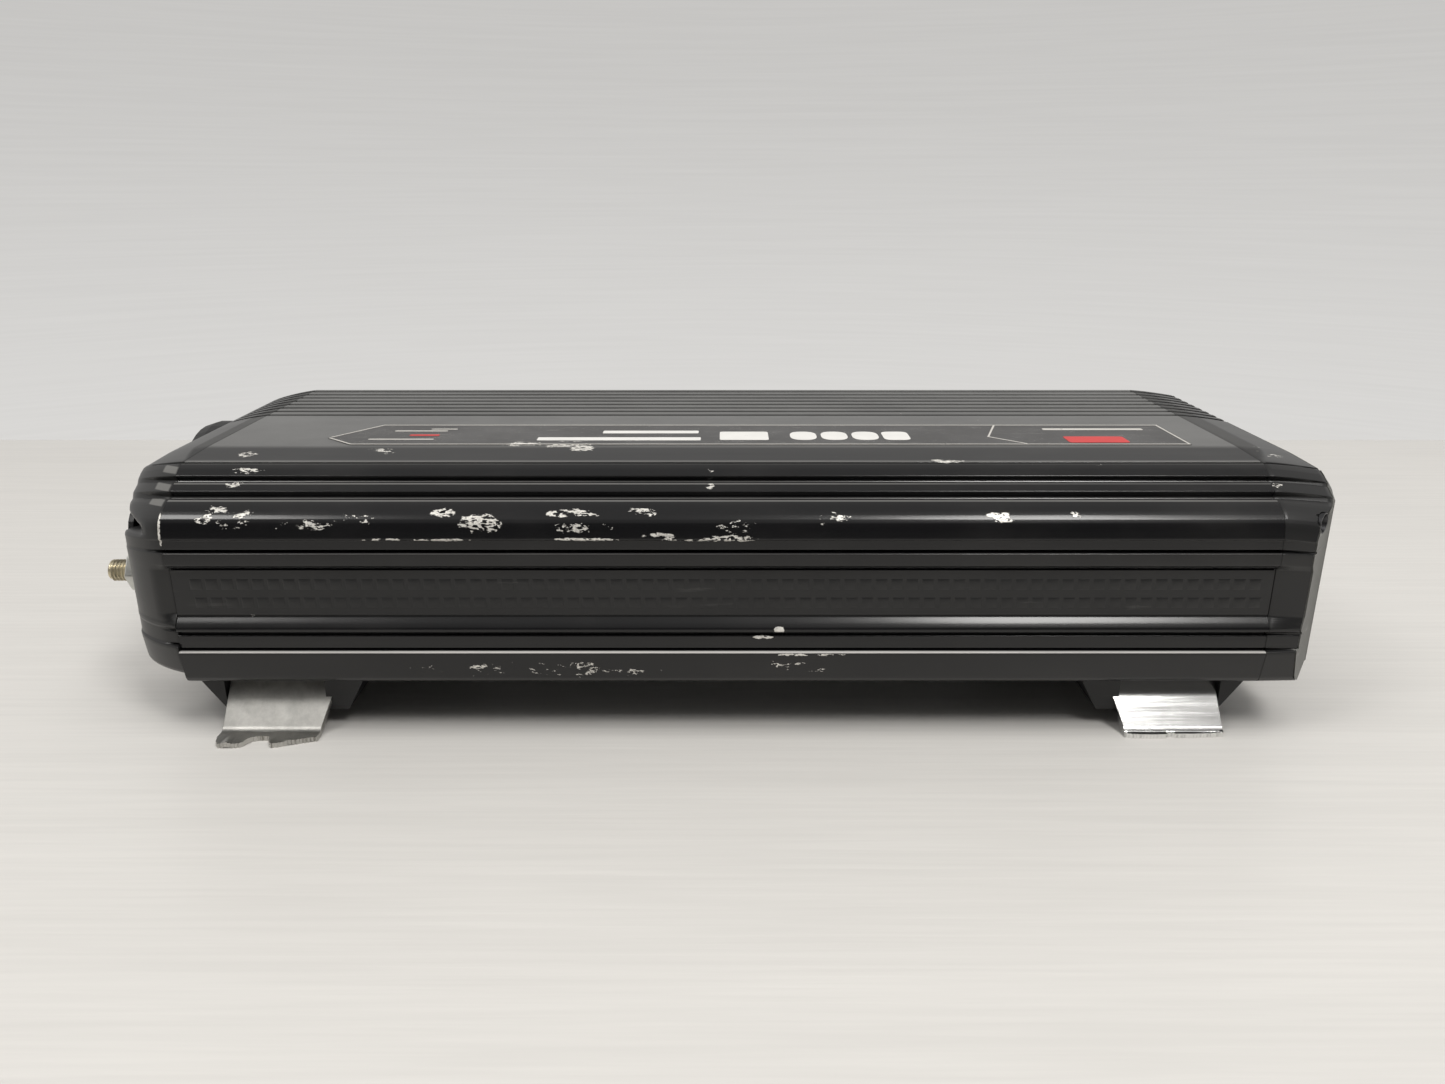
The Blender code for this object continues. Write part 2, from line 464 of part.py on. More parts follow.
for i in range(turns):
    for j in range(sides):
        a, b = loops[i], loops[(i + 1) % turns]
        shape.faces.new((a[j], b[j], b[(j + 1) % sides], a[(j + 1) % sides]))
bmesh.ops.recalc_face_normals(shape, faces=shape.faces)
shape.to_mesh(choke)
shape.free()
ring_choke = add("output_choke", choke, copper)
ring_choke.location = (frame_shift + 60.0 * mm, 0.0, 42.5 * mm)
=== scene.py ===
import math

import bmesh
import bpy
import numpy as np
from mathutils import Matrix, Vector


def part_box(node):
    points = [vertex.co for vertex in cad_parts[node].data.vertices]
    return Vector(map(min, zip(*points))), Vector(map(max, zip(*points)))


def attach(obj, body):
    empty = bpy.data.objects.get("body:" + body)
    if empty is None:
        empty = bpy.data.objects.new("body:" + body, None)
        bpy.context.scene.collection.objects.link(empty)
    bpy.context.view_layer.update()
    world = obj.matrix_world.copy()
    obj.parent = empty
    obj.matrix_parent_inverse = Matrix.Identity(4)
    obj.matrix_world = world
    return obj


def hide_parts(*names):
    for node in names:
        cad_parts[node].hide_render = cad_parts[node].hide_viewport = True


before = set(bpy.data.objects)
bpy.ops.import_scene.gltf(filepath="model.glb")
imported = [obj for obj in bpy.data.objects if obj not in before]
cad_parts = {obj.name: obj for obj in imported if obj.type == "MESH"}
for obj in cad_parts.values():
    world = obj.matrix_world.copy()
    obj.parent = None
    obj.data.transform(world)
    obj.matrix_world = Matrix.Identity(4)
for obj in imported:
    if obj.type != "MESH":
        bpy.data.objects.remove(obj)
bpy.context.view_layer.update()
mm = 0.001
shift = 6.35  # millimetres from the middle of the whole object to the middle of the body

viewer = {"place": (0.00635, -0.421, 0.185), "tilt": 71.4, "lens": 27.03}
room = {"floor": (0.66, 0.645, 0.62), "floorEnd": 0.366, "side": 0.85, "back": 0.62, "above": 0.50, "low": 0.08,
        "backdrop": (0.70, 0.57), "tint": (1.0, 0.985, 0.96)}

cameraData = bpy.data.cameras.new("camera")
cameraData.lens = viewer["lens"]
cameraData.sensor_width = 36.0
cameraData.clip_start = 0.01
camera = bpy.data.objects.new("camera", cameraData)
camera.location = viewer["place"]
camera.rotation_euler = (math.radians(viewer["tilt"]), 0.0, 0.0)
bpy.context.scene.collection.objects.link(camera)
bpy.context.scene.camera = camera
bpy.context.scene.view_settings.view_transform = "Standard"


class Graph:
    # Adds shader nodes and sets or links their inputs
    def __init__(self, name):
        self.material = bpy.data.materials.new(name)
        self.material.use_nodes = True
        self.tree = self.material.node_tree
        self.shader = self.tree.nodes["Principled BSDF"]
        self.place = self.tree.nodes.new("ShaderNodeTexCoord").outputs["Object"]
        self.x, self.y, self.z = self.split(self.place)

    def put(self, socket, value):
        if isinstance(value, bpy.types.NodeSocket):
            self.tree.links.new(value, socket)
        elif isinstance(value, tuple) and len(value) == 3 and socket.type == "RGBA":
            socket.default_value = (*value, 1.0)
        else:
            socket.default_value = value

    def split(self, value):
        node = self.tree.nodes.new("ShaderNodeSeparateXYZ")
        self.put(node.inputs[0], value)
        return node.outputs

    def math(self, kind, a, b=0.0, c=0.0, clamp=False):
        node = self.tree.nodes.new("ShaderNodeMath")
        node.operation = kind
        node.use_clamp = clamp
        for socket, value in zip(node.inputs, (a, b, c)):
            self.put(socket, value)
        return node.outputs[0]

    def vector(self, kind, a, b=(0.0, 0.0, 0.0)):
        node = self.tree.nodes.new("ShaderNodeVectorMath")
        node.operation = kind
        self.put(node.inputs[0], a)
        self.put(node.inputs[1], b)
        return node.outputs["Value" if kind == "LENGTH" else "Vector"]

    def noise(self, scale, stretch=(1.0, 1.0, 1.0), detail=4.0, rough=0.55):
        node = self.tree.nodes.new("ShaderNodeTexNoise")
        self.put(node.inputs["Vector"], self.vector("MULTIPLY", self.place, stretch))
        for name, value in (("Scale", scale), ("Detail", detail), ("Roughness", rough)):
            self.put(node.inputs[name], value)
        return node.outputs["Fac"]

    def step(self, value, low, high, out=(0.0, 1.0)):
        node = self.tree.nodes.new("ShaderNodeMapRange")
        node.interpolation_type = "SMOOTHSTEP"
        for socket, entry in zip(node.inputs, (value, low, high, out[0], out[1])):
            self.put(socket, entry)
        return node.outputs[0]

    def mix(self, factor, a, b):
        node = self.tree.nodes.new("ShaderNodeMix")
        node.data_type = "RGBA"
        for socket, value in zip((node.inputs[0], node.inputs[6], node.inputs[7]), (factor, a, b)):
            self.put(socket, value)
        return node.outputs[2]

    def blob(self, centre, reach):
        # 1 at the centre, falling evenly to 0 at the reach along each axis, both in millimetres
        middle = ((centre[0] + shift) * mm, centre[1] * mm, centre[2] * mm)
        away = self.vector("SUBTRACT", self.place, middle)
        size = self.vector("LENGTH", self.vector("MULTIPLY", away, tuple(1000.0 / v for v in reach)))
        return self.math("SUBTRACT", 1.0, size, clamp=True)

    def most(self, spots):
        # The greatest of the spots' blobs, each rising to its own depth by 0.7 of the way in
        pull = 0.0
        for centre, reach, depth in spots.values():
            pull = self.math("MAXIMUM", pull, self.step(self.blob(centre, reach), 0.0, 0.7, (0.0, depth)))
        return pull

    def patch(self, centre, half):
        # 1 inside a box of these half sizes in millimetres, falling to 0 over its last quarter
        inside = 1.0
        for axis, middle, size, offset in zip((self.x, self.y, self.z), centre, half, (shift, 0.0, 0.0)):
            off = self.math("ABSOLUTE", self.math("SUBTRACT", axis, (middle + offset) * mm))
            inside = self.math("MULTIPLY", inside, self.step(off, size * 0.75 * mm, size * mm, (1.0, 0.0)))
        return inside

    def bump(self, height, strength, distance):
        node = self.tree.nodes.new("ShaderNodeBump")
        for name, value in (("Height", height), ("Strength", strength), ("Distance", distance)):
            self.put(node.inputs[name], value)
        self.put(self.shader.inputs["Normal"], node.outputs[0])

    def set(self, **values):
        for name, value in values.items():
            self.put(self.shader.inputs[name.replace("_", " ")], value)
        return self.material


# Worn places: middle and reach in millimetres, and how bare the metal gets there
wearSpots = {
    "shoulderDc": ((-163.0, -81.0, 79.0), (18.0, 8.0, 5.4), 1.5),
    "shoulderDcTail": ((-140.0, -83.0, 76.5), (18.0, 6.0, 4.0), 1.4),
    "bulgeA": ((-92.0, -80.0, 80.6), (7.0, 6.0, 2.6), 1.8),
    "bulgeB": ((-79.5, -82.5, 77.8), (11.0, 5.0, 5.0), 1.6),
    "bulgeC": ((-50.0, -80.3, 80.4), (14.0, 5.0, 2.2), 1.8),
    "bulgeD": ((-27.5, -80.3, 80.6), (10.0, 5.0, 2.4), 1.5),
    "bulgeK": ((-118.0, -81.5, 79.0), (20.0, 5.0, 3.6), 0.9),
    "bulgeE": ((-48.0, -83.0, 76.0), (20.0, 5.0, 3.2), 1.3),
    "bulgeF": ((-21.0, -84.0, 73.4), (12.0, 5.0, 2.4), 2.0),
    "bulgeG": ((10.0, -83.0, 76.5), (34.0, 5.0, 4.6), 0.8),
    "bulgeH": ((5.0, -84.0, 73.0), (26.0, 4.0, 1.3), 1.5),
    "bulgeI": ((38.0, -81.0, 79.6), (12.0, 4.0, 2.4), 1.3),
    "bulgeAc": ((91.0, -81.5, 79.4), (9.0, 5.0, 3.0), 2.1),
    "bulgeAcTail": ((120.0, -81.0, 80.0), (26.0, 4.0, 1.8), 0.9),
    "stepA": ((-94.0, -84.5, 72.2), (18.0, 3.0, 0.9), 2.0),
    "stepD": ((-45.0, -84.5, 72.4), (15.0, 3.0, 1.2), 2.4),
    "stepB": ((-4.0, -84.5, 72.1), (26.0, 3.0, 1.0), 2.0),
    "stepC": ((-110.0, -84.5, 72.2), (16.0, 3.0, 0.9), 1.5),
    "grooveEdge": ((77.0, -60.0, 92.9), (13.0, 4.0, 1.2), 1.8),
    "topRidge": ((-160.0, -66.0, 90.4), (11.0, 4.0, 2.4), 1.5),
    "topRidgeLow": ((-165.0, -70.0, 86.2), (7.0, 3.0, 2.4), 1.7),
    "finNick": ((-4.0, -70.0, 86.5), (2.6, 3.5, 1.8), 2.4),
    "finNickHigh": ((-4.0, -65.0, 91.0), (3.0, 3.0, 1.6), 1.5),
    "ridgeNick": ((19.0, -85.0, 40.2), (2.8, 3.0, 2.4), 3.4),
    "ridgeRun": ((14.0, -84.0, 37.4), (6.0, 3.0, 1.1), 3.0),
    "labelScuff": ((-56.0, -38.5, 93.5), (17.0, 6.0, 2.0), 1.9),
    "labelNick": ((-50.0, -44.0, 93.4), (7.0, 6.0, 2.0), 2.2),
    "lineNick": ((-72.0, -39.5, 93.5), (8.0, 5.0, 2.0), 1.9),
    "cornerDc": ((-120.0, -48.0, 93.4), (9.0, 6.0, 2.0), 1.2),
    "cornerDcEnd": ((-166.0, -52.0, 93.0), (6.0, 7.0, 2.0), 1.3),
    "lowRun": ((28.0, -85.0, 31.6), (16.0, 3.0, 0.9), 1.9),
    "lowFlat": ((-60.0, -84.0, 26.0), (75.0, 4.0, 5.0), 0.95),
    "lowFlatAc": ((24.0, -84.0, 26.5), (38.0, 4.0, 4.5), 1.0),
}
# Heights of the body's sharp lips, half width in millimetres, and how pale their painted highlight line is
lipHighlights = ((32.35, 0.26, 0.95), (67.5, 0.20, 0.10), (83.2, 0.20, 0.22), (87.45, 0.20, 0.22), (92.6, 0.2, 0.2))
capSpots = {
    "jointDc": ((-184.6, -83.5, 76.0), (0.7, 6.0, 9.0), 3.6),
    "lowerDc": ((-184.5, -84.5, 55.0), (0.8, 4.0, 6.0), 2.0),
    "endDc": ((-200.0, -72.0, 80.0), (3.0, 6.0, 6.0), 0.8),
    "topAc": ((192.0, -45.0, 92.5), (9.0, 15.0, 4.0), 0.9),
    "jointAc": ((186.0, -70.0, 88.0), (4.0, 10.0, 5.0), 0.9),
    # Painted highlight: bare-metal curls along the AC shell's slanting edge stand in for its edge highlight, with
    # some wear
    "edgeAcHighlight": ((199.6, -79.0, 86.0), (2.2, 5.0, 8.0), 2.0),
}
# Pale grey patches over the DC cap's three upper flats by the joint
paleCapFlats = (((-187.2, -65.0, 90.9), (3.2, 4.0, 0.95)), ((-187.8, -70.2, 86.4), (3.4, 4.0, 0.9)),
                ((-188.0, -75.0, 82.6), (3.2, 3.6, 0.8)))


def coatedMetal(name, base=(0.0045, 0.0045, 0.0052), rough=0.21, spots=None, lips=(), paleFlats=(), top=0.115):
    # Bare metal along thin curls where curling noise is within a limit of 0.5, gated by a second noise;
    # each worn place widens the curls and opens the gate. Elsewhere black with patchy dust; the flat top is greyed
    # by a painted sheen, uneven like dust, and the sharp lips carry painted highlights
    graph = Graph(name)
    streak = graph.noise(90.0, (0.05, 1.0, 1.0), 3.0)
    cloud = graph.noise(35.0, (0.6, 1.0, 1.0), 6.0, 0.65)
    curl = graph.noise(640.0, (0.45, 1.0, 1.0), 3.0, 0.6)
    gate = graph.noise(210.0, (0.45, 1.0, 1.0), 5.0, 0.7)
    pull = graph.most(spots) if spots else 0.0
    reach = graph.math("ADD", 0.012, graph.math("MULTIPLY", pull, 0.044))
    away = graph.math("DIVIDE", graph.math("ABSOLUTE", graph.math("SUBTRACT", curl, 0.5)), reach)
    opened = graph.step(graph.math("ADD", gate, graph.math("MULTIPLY", pull, 0.15)), 0.71, 0.73)
    bare = graph.math("MULTIPLY", graph.step(away, 0.7, 1.0, (1.0, 0.0)), opened)
    dustAndSheen = graph.mix(graph.step(cloud, 0.45, 0.8, (0.0, 0.3)), base, (0.03, 0.029, 0.028))
    # Painted sheen: the flat top from the label's near edge inward turns grey, uneven like dust, standing in for
    # the wall's reflection there
    flat = graph.step(graph.z, 0.0926, 0.0929)
    above = graph.math("MULTIPLY", flat, graph.step(graph.y, -0.0450, -0.0395))
    topSheen = graph.math("MULTIPLY", above, graph.step(cloud, 0.2, 0.7, (0.7, 1.0)))
    dustAndSheen = graph.mix(topSheen, dustAndSheen, (top, top, top * 0.98))
    # Painted highlights: a pale line along each sharp lip, broken by streak noise
    for height, half, pale in lips:
        off = graph.math("ABSOLUTE", graph.math("SUBTRACT", graph.z, height * mm))
        line = graph.step(off, half * 0.5 * mm, half * mm, (pale, 0.0))
        line = graph.math("MULTIPLY", line, graph.step(streak, 0.3, 0.6, (0.45, 1.0)))
        dustAndSheen = graph.mix(line, dustAndSheen, (0.55, 0.54, 0.52))
    for centre, half in paleFlats:
        dustAndSheen = graph.mix(graph.patch(centre, half), dustAndSheen, (0.13, 0.128, 0.122))
    metal = graph.mix(graph.step(curl, 0.45, 0.55), (0.62, 0.60, 0.56), (0.85, 0.83, 0.78))
    smooth = graph.math("ADD", rough - 0.04, graph.math("MULTIPLY", streak, 0.08))
    smooth = graph.math("ADD", smooth, graph.math("MULTIPLY", flat, 0.22))
    grain = graph.math("MULTIPLY", graph.noise(900.0, (0.12, 1.0, 1.0), 2.0), 0.10)
    graph.bump(graph.math("SUBTRACT", grain, bare), 0.3, 0.0001)
    return graph.set(Base_Color=graph.mix(bare, dustAndSheen, metal), Metallic=graph.math("MULTIPLY", bare, 0.4),
                     Roughness=graph.math("ADD", smooth, graph.math("MULTIPLY", bare, 0.2)))


def mouldedPlastic(name, base, rough=0.5, grain=0.5, scuff=0.3, pale=(0.20, 0.20, 0.19)):
    # Base darkened 18 percent by slow noise, pale where two stretched noises both pass their limits
    # (scratches), roughness swinging 0.14 with the slow noise, bump from grain at 1400 per metre
    graph = Graph(name)
    slow = graph.noise(28.0, detail=5.0)
    scratch = graph.math("MULTIPLY", graph.step(graph.noise(160.0, (0.2, 1.0, 2.5), 3.0), 0.60, 0.66),
                         graph.step(graph.noise(40.0, detail=2.0), 0.5, 0.65))
    plain = graph.mix(slow, tuple(v * 0.82 for v in base), base)
    colour = graph.mix(graph.math("MULTIPLY", scratch, scuff), plain, pale)
    graph.bump(graph.noise(1400.0, detail=2.0), grain * 0.3, 0.00008)
    return graph.set(Base_Color=colour, Roughness=graph.step(slow, 0.3, 0.7, (rough - 0.06, rough + 0.08)))


def bareSheet(name, base, rough, brush=(0.04, 1.0, 1.0), spread=0.12, patch=0.25):
    # Metal whose colour dips by blotchy noise and whose roughness follows brush lines along one axis
    graph = Graph(name)
    lines = graph.noise(700.0, brush, 3.0)
    blotch = graph.noise(120.0, detail=6.0, rough=0.7)
    colour = graph.mix(graph.step(blotch, 0.35, 0.7), base, tuple(v * (1.0 - patch) for v in base))
    graph.bump(graph.math("ADD", lines, graph.math("MULTIPLY", blotch, 0.8)), 0.22, 0.0001)
    swing = graph.math("MULTIPLY", lines, spread)
    return graph.set(Base_Color=colour, Metallic=1.0, Roughness=graph.math("ADD", rough, swing))


def glossyFilm(name, base, rough=0.28, spots=None):
    # Dark film: base plus 0.012 of slow noise; hairlines where stretched noise passes 0.66, and bare
    # curls at the worn places as on the coat
    graph = Graph(name)
    hair = graph.step(graph.noise(300.0, (0.15, 1.6, 1.0), 2.0), 0.66, 0.70)
    slow = graph.noise(40.0, detail=5.0)
    plain = graph.mix(slow, base, tuple(v + 0.012 for v in base))
    colour = graph.mix(graph.math("MULTIPLY", hair, 0.3), plain, (0.25, 0.25, 0.24))
    if spots:
        away = graph.math("ABSOLUTE", graph.math("SUBTRACT", graph.noise(480.0, (0.5, 1.0, 1.0), 3.0, 0.6), 0.5))
        reach = graph.math("ADD", 0.001, graph.math("MULTIPLY", graph.most(spots), 0.045))
        mark = graph.step(graph.math("DIVIDE", away, reach), 0.7, 1.0, (1.0, 0.0))
        mark = graph.math("MULTIPLY", mark, graph.step(graph.noise(210.0, (0.45, 1.0, 1.0), 5.0, 0.7), 0.50, 0.53))
        colour = graph.mix(mark, colour, (0.75, 0.73, 0.68))
    graph.bump(slow, 0.1, 0.0002)
    return graph.set(Base_Color=colour, Roughness=graph.step(slow, 0.3, 0.7, (rough, rough + 0.1)))


def printedInk(name, base, gone=0.62):
    # Ink shade swings 20 percent with noise and drops to the dark film where fine noise passes the limit
    graph = Graph(name)
    worn = graph.step(graph.noise(260.0, (0.7, 1.0, 1.0), 5.0, 0.7), gone, gone + 0.05)
    shade = graph.mix(graph.noise(90.0), base, tuple(v * 0.8 for v in base))
    return graph.set(Base_Color=graph.mix(worn, shade, (0.03, 0.03, 0.032)), Roughness=0.45)


def shopFloor(name, base, rough):
    # Pale board: shade dips 8 percent with slow noise, faint streaks and fine ribs, both running along X
    graph = Graph(name)
    slow = graph.noise(3.0, detail=6.0)
    streak = graph.noise(60.0, (0.05, 1.0, 1.0), 4.0)
    fine = graph.noise(420.0, (0.03, 1.0, 1.0), 3.0)
    tone = graph.math("ADD", graph.math("MULTIPLY", slow, 0.3), graph.math("MULTIPLY", streak, 0.3))
    tone = graph.math("ADD", tone, graph.math("MULTIPLY", fine, 0.4))
    graph.bump(fine, 0.24, 0.0004)
    shade = graph.mix(graph.step(tone, 0.35, 0.65), base, tuple(v * 0.92 for v in base))
    return graph.set(Base_Color=shade, Roughness=rough)


filmSpots = {key: wearSpots[key] for key in ("labelScuff", "lineNick")}
# The top value is the grey of each coat's painted sheen on the flat top
housingCoat = coatedMetal("housingCoat", spots=wearSpots, lips=lipHighlights)
capCoat = coatedMetal("capCoat", (0.0105, 0.0105, 0.0108), 0.34, capSpots, paleFlats=paleCapFlats, top=0.045)
plainCoat = coatedMetal("plainCoat", (0.016, 0.016, 0.017), 0.4)
darkPlastic = mouldedPlastic("darkPlastic", (0.018, 0.018, 0.019), 0.5)
footPlastic = mouldedPlastic("footPlastic", (0.010, 0.010, 0.011), 0.5, 0.8, 0.15)
facePlastic = mouldedPlastic("facePlastic", (0.155, 0.155, 0.145), 0.5, 0.5, 0.4, (0.40, 0.40, 0.38))
redPlastic = mouldedPlastic("redPlastic", (0.42, 0.015, 0.015), 0.35, 0.3, 0.2)
palePlastic = mouldedPlastic("palePlastic", (0.62, 0.62, 0.59), 0.4, 0.3, 0.2)
grillePlastic = mouldedPlastic("grillePlastic", (0.012, 0.012, 0.0125), 0.40, 0.6, 0.1)
outletPlastic = mouldedPlastic("outletPlastic", (0.030, 0.030, 0.031), 0.38, 0.3, 0.15)
labelFilm = glossyFilm("labelFilm", (0.030, 0.029, 0.029), 0.34, filmSpots)
windowFilm = glossyFilm("windowFilm", (0.008, 0.012, 0.02), 0.12)
paleInk = printedInk("paleInk", (0.62, 0.60, 0.56), 0.66)
whiteInk = printedInk("whiteInk", (0.82, 0.81, 0.78), 0.68)
redInk = printedInk("redInk", (0.62, 0.03, 0.03), 0.68)
dullSteel = bareSheet("dullSteel", (0.60, 0.59, 0.56), 0.34, (1.0, 0.05, 0.05), 0.2, 0.25)
brightSteel = bareSheet("brightSteel", (0.86, 0.86, 0.85), 0.08, (0.03, 1.0, 1.0), 0.12, 0.08)
nutSteel = bareSheet("nutSteel", (0.62, 0.62, 0.59), 0.28)
studZinc = bareSheet("studZinc", (0.74, 0.66, 0.48), 0.3, (1.0, 1.0, 1.0), 0.2, 0.3)
darkScrew = bareSheet("darkScrew", (0.10, 0.10, 0.105), 0.35)
copperMetal = bareSheet("copperMetal", (0.80, 0.40, 0.24), 0.28)
sinkMetal = bareSheet("sinkMetal", (0.70, 0.71, 0.72), 0.35)
boardResist = mouldedPlastic("boardResist", (0.015, 0.12, 0.045), 0.4, 0.4, 0.3, (0.55, 0.5, 0.3))
ferriteBlock = mouldedPlastic("ferriteBlock", (0.05, 0.05, 0.055), 0.65, 1.0, 0.2)
coilTape = mouldedPlastic("coilTape", (0.55, 0.36, 0.05), 0.35, 0.4, 0.2)
canSleeve = mouldedPlastic("canSleeve", (0.015, 0.025, 0.075), 0.3, 0.2, 0.2)
print("surfaces made")


# New pieces take X from the middle of the body, so every point moves by the shift here
def finishPiece(name, verts, faces, surface, angle=32.0, body="body"):
    mesh = bpy.data.meshes.new(name)
    mesh.from_pydata(((np.asarray(verts, float) + (shift, 0.0, 0.0)) * mm).tolist(), [], faces)
    shape = bmesh.new()
    shape.from_mesh(mesh)
    bmesh.ops.recalc_face_normals(shape, faces=shape.faces)
    shape.to_mesh(mesh)
    shape.free()
    mesh.materials.append(surface)
    piece = bpy.data.objects.new(name, mesh)
    bpy.context.scene.collection.objects.link(piece)
    mesh.shade_smooth()
    mesh.set_sharp_from_angle(angle=math.radians(angle))
    if body:
        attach(piece, body)
    return piece


def loft(name, rings, surface, loop=False, angle=32.0, body="body"):
    # Quads join each ring of points to the next; the last joins the first, or both ends are filled
    rings = np.asarray(rings, float)
    ringCount, count = rings.shape[:2]
    here = np.arange(ringCount if loop else ringCount - 1)[:, None] * count
    there = (here + count) % (ringCount * count)
    i = np.arange(count)
    j = (i + 1) % count
    faces = np.stack([here + i, here + j, there + j, there + i], -1).reshape(-1, 4).tolist()
    if not loop:
        faces += [list(range(count)), list(range((ringCount - 1) * count, ringCount * count))]
    return finishPiece(name, rings.reshape(-1, 3), faces, surface, angle, body)


def rounded(points, radius, steps=3):
    # Each corner becomes corner + a (1 - t)^2 + b t^2, where a and b are short arms to its neighbours
    corner = np.array(points, float)
    arms = [np.roll(corner, turn, 0) - corner for turn in (1, -1)]
    arms = [(a * np.minimum(radius / np.linalg.norm(a, axis=1), 0.45)[:, None])[:, None] for a in arms]
    t = np.linspace(0.0, 1.0, steps + 1)[None, :, None]
    return (corner[:, None] + arms[0] * (1 - t) ** 2 + arms[1] * t ** 2).reshape(-1, 2)


def bake(piece, cutters=()):
    # The cutters' solids are taken away one after another, then the result becomes the piece's own mesh
    for cutter in cutters:
        change = piece.modifiers.new("cut", "BOOLEAN")
        change.operation = "DIFFERENCE"
        change.solver = "EXACT"
        change.object = cutter
    mesh = bpy.data.meshes.new_from_object(piece.evaluated_get(bpy.context.evaluated_depsgraph_get()))
    piece.modifiers.clear()
    piece.data = mesh
    for cutter in cutters:
        bpy.data.objects.remove(cutter, do_unlink=True)
    return piece


def bevelled(piece, width):
    # Edges sharper than 40 degrees are cut back by the width in two steps
    change = piece.modifiers.new("bevel", "BEVEL")
    change.width = width * mm
    change.segments = 2
    change.limit_method = "ANGLE"
    change.angle_limit = math.radians(40.0)
    return bake(piece)


def prism(name, outline, low, high, surface, axis="x", body="body"):
    # The outline stands at the two ends along the axis
    outline = np.asarray(outline, float)
    order = {"x": [2, 0, 1], "z": [0, 1, 2]}[axis]
    rings = [np.column_stack([outline, np.full(len(outline), end)])[:, order] for end in (low, high)]
    return loft(name, rings, surface, body=body)


def roundBox(c0, c1, w, h, corner):
    # A rectangle about its middle, with each corner rounded in five steps
    return rounded([(c0 - w / 2, c1 - h / 2), (c0 + w / 2, c1 - h / 2), (c0 + w / 2, c1 + h / 2),
                    (c0 - w / 2, c1 + h / 2)], corner * 1.2, 5)


def circle(c0, c1, radius, steps=40):
    # Middle plus the radius times the cosine and sine of even turns
    turn = np.linspace(0.0, 2 * math.pi, steps, endpoint=False)
    return np.column_stack([c0 + radius * np.cos(turn), c1 + radius * np.sin(turn)])


def turned(name, profile, middle, way, surface, steps=40, body="body"):
    # Rings of the profile's radii, square to the way, at its distances along the way from the middle
    way = np.array(way, float) / np.linalg.norm(way)
    side = np.cross(way, (0.0, 0.0, 1.0))
    side /= np.linalg.norm(side)
    turn = np.linspace(0.0, 2 * math.pi, steps, endpoint=False)[:, None]
    spoke = np.cos(turn) * side + np.sin(turn) * np.cross(way, side)
    rings = [np.array(middle, float) + way * along + spoke * radius for along, radius in profile]
    return loft(name, rings, surface, body=body)


# The body's section down the near side: y, z, then how far a groove sinks there
sideSection = [
    (-40.6, 93.5, 0, 0), (-44.0, 93.4, 0, 0), (-50.0, 93.15, 0, 0), (-56.0, 92.9, 0, 0), (-60.6, 92.7, 0, 0),
    (-60.9, 92.8, 0.0, -2.0), (-62.2, 92.65, 0.3, -1.9), (-62.6, 92.6, 0, 0), (-65.2, 91.4, 0, 0),
    (-67.9, 89.6, 0, 0), (-68.2, 89.2, 1.4, -1.4), (-68.9, 88.2, 1.4, -1.2), (-69.1, 87.9, 0, 0),
    (-73.1, 85.7, 0, 0), (-73.4, 85.3, 1.1, -1.6), (-74.2, 84.0, 1.2, -1.4), (-74.5, 83.6, 0, 0),
    (-76.6, 82.9, 0, 0), (-77.8, 82.3, 0, 0), (-78.9, 81.6, 0, 0), (-80.0, 80.8, 0, 0), (-81.0, 79.9, 0, 0),
    (-82.0, 78.8, 0, 0), (-82.7, 77.6, 0, 0), (-83.2, 76.3, 0, 0), (-83.55, 75.0, 0, 0), (-83.85, 73.6, 0, 0),
    (-84.15, 72.2, 0, 0), (-84.1, 71.8, 0.65, 0), (-84.1, 68.8, 0.1, 0),
    (-84.1, 68.6, 2.4, 0), (-84.3, 67.9, 2.6, 0), (-84.5, 67.6, 0, 0), (-84.4, 63.4, 0, 0),
    (-84.3, 61.2, 2.7, 0), (-84.3, 44.6, 2.7, 0), (-84.3, 44.2, 2.5, 0), (-84.3, 43.6, 2.0, 0),
    (-84.3, 43.0, 1.5, 0), (-84.3, 42.4, 1.02, 0), (-84.3, 41.8, 0.6, 0), (-84.4, 41.2, 0.3, 0),
    (-84.5, 40.7, 0.15, 0), (-84.5, 40.2, 0.1, 0), (-84.5, 39.7, 0.15, 0), (-84.4, 39.4, 0.6, 0),
    (-84.3, 39.1, 1.8, 0), (-84.2, 38.8, 2.2, 0),
    (-84.2, 38.2, 2.2, 0), (-84.2, 37.9, 0.8, 0), (-84.2, 33.3, 0.8, 0), (-84.3, 33.1, 2.4, 0),
    (-84.7, 32.8, 2.6, 0), (-85.0, 32.4, 0, 0), (-85.0, 31.4, 0, 0), (-83.2, 22.2, 0, 0),
    (-82.4, 20.8, 0, 0), (-80.8, 19.8, 0, 0),
]
farShoulder = [(71.3, 88.1, 0, 0), (71.1, 88.4, -1.3, -1.2), (70.5, 89.3, -1.4, -1.2), (70.3, 89.7, 0, 0),
               (68.9, 91.9, 0, 0), (68.0, 93.0, 0, 0), (67.0, 93.5, 0, 0)]
bodyShape = {"half": 184.0, "fins": 8, "firstFin": 12.5, "pitch": 7.2, "finWidth": 1.35, "finDepth": 3.0,
             "lip": 0.3}
nearSide = np.array(sideSection, float)
farSide = np.array([(-y, z, -dy, dz) for y, z, dy, dz in reversed(sideSection) if y <= -73.1] + farShoulder)
finMiddle = bodyShape["firstFin"] + bodyShape["pitch"] * np.arange(bodyShape["fins"])[::-1]
finStep = np.array([0.2, 0.0, 0.0, -0.2]) + bodyShape["finWidth"] * np.array([1.0, 1.0, -1.0, -1.0])
finSink = -bodyShape["finDepth"] * np.array([0.0, 1.0, 1.0, 0.0])
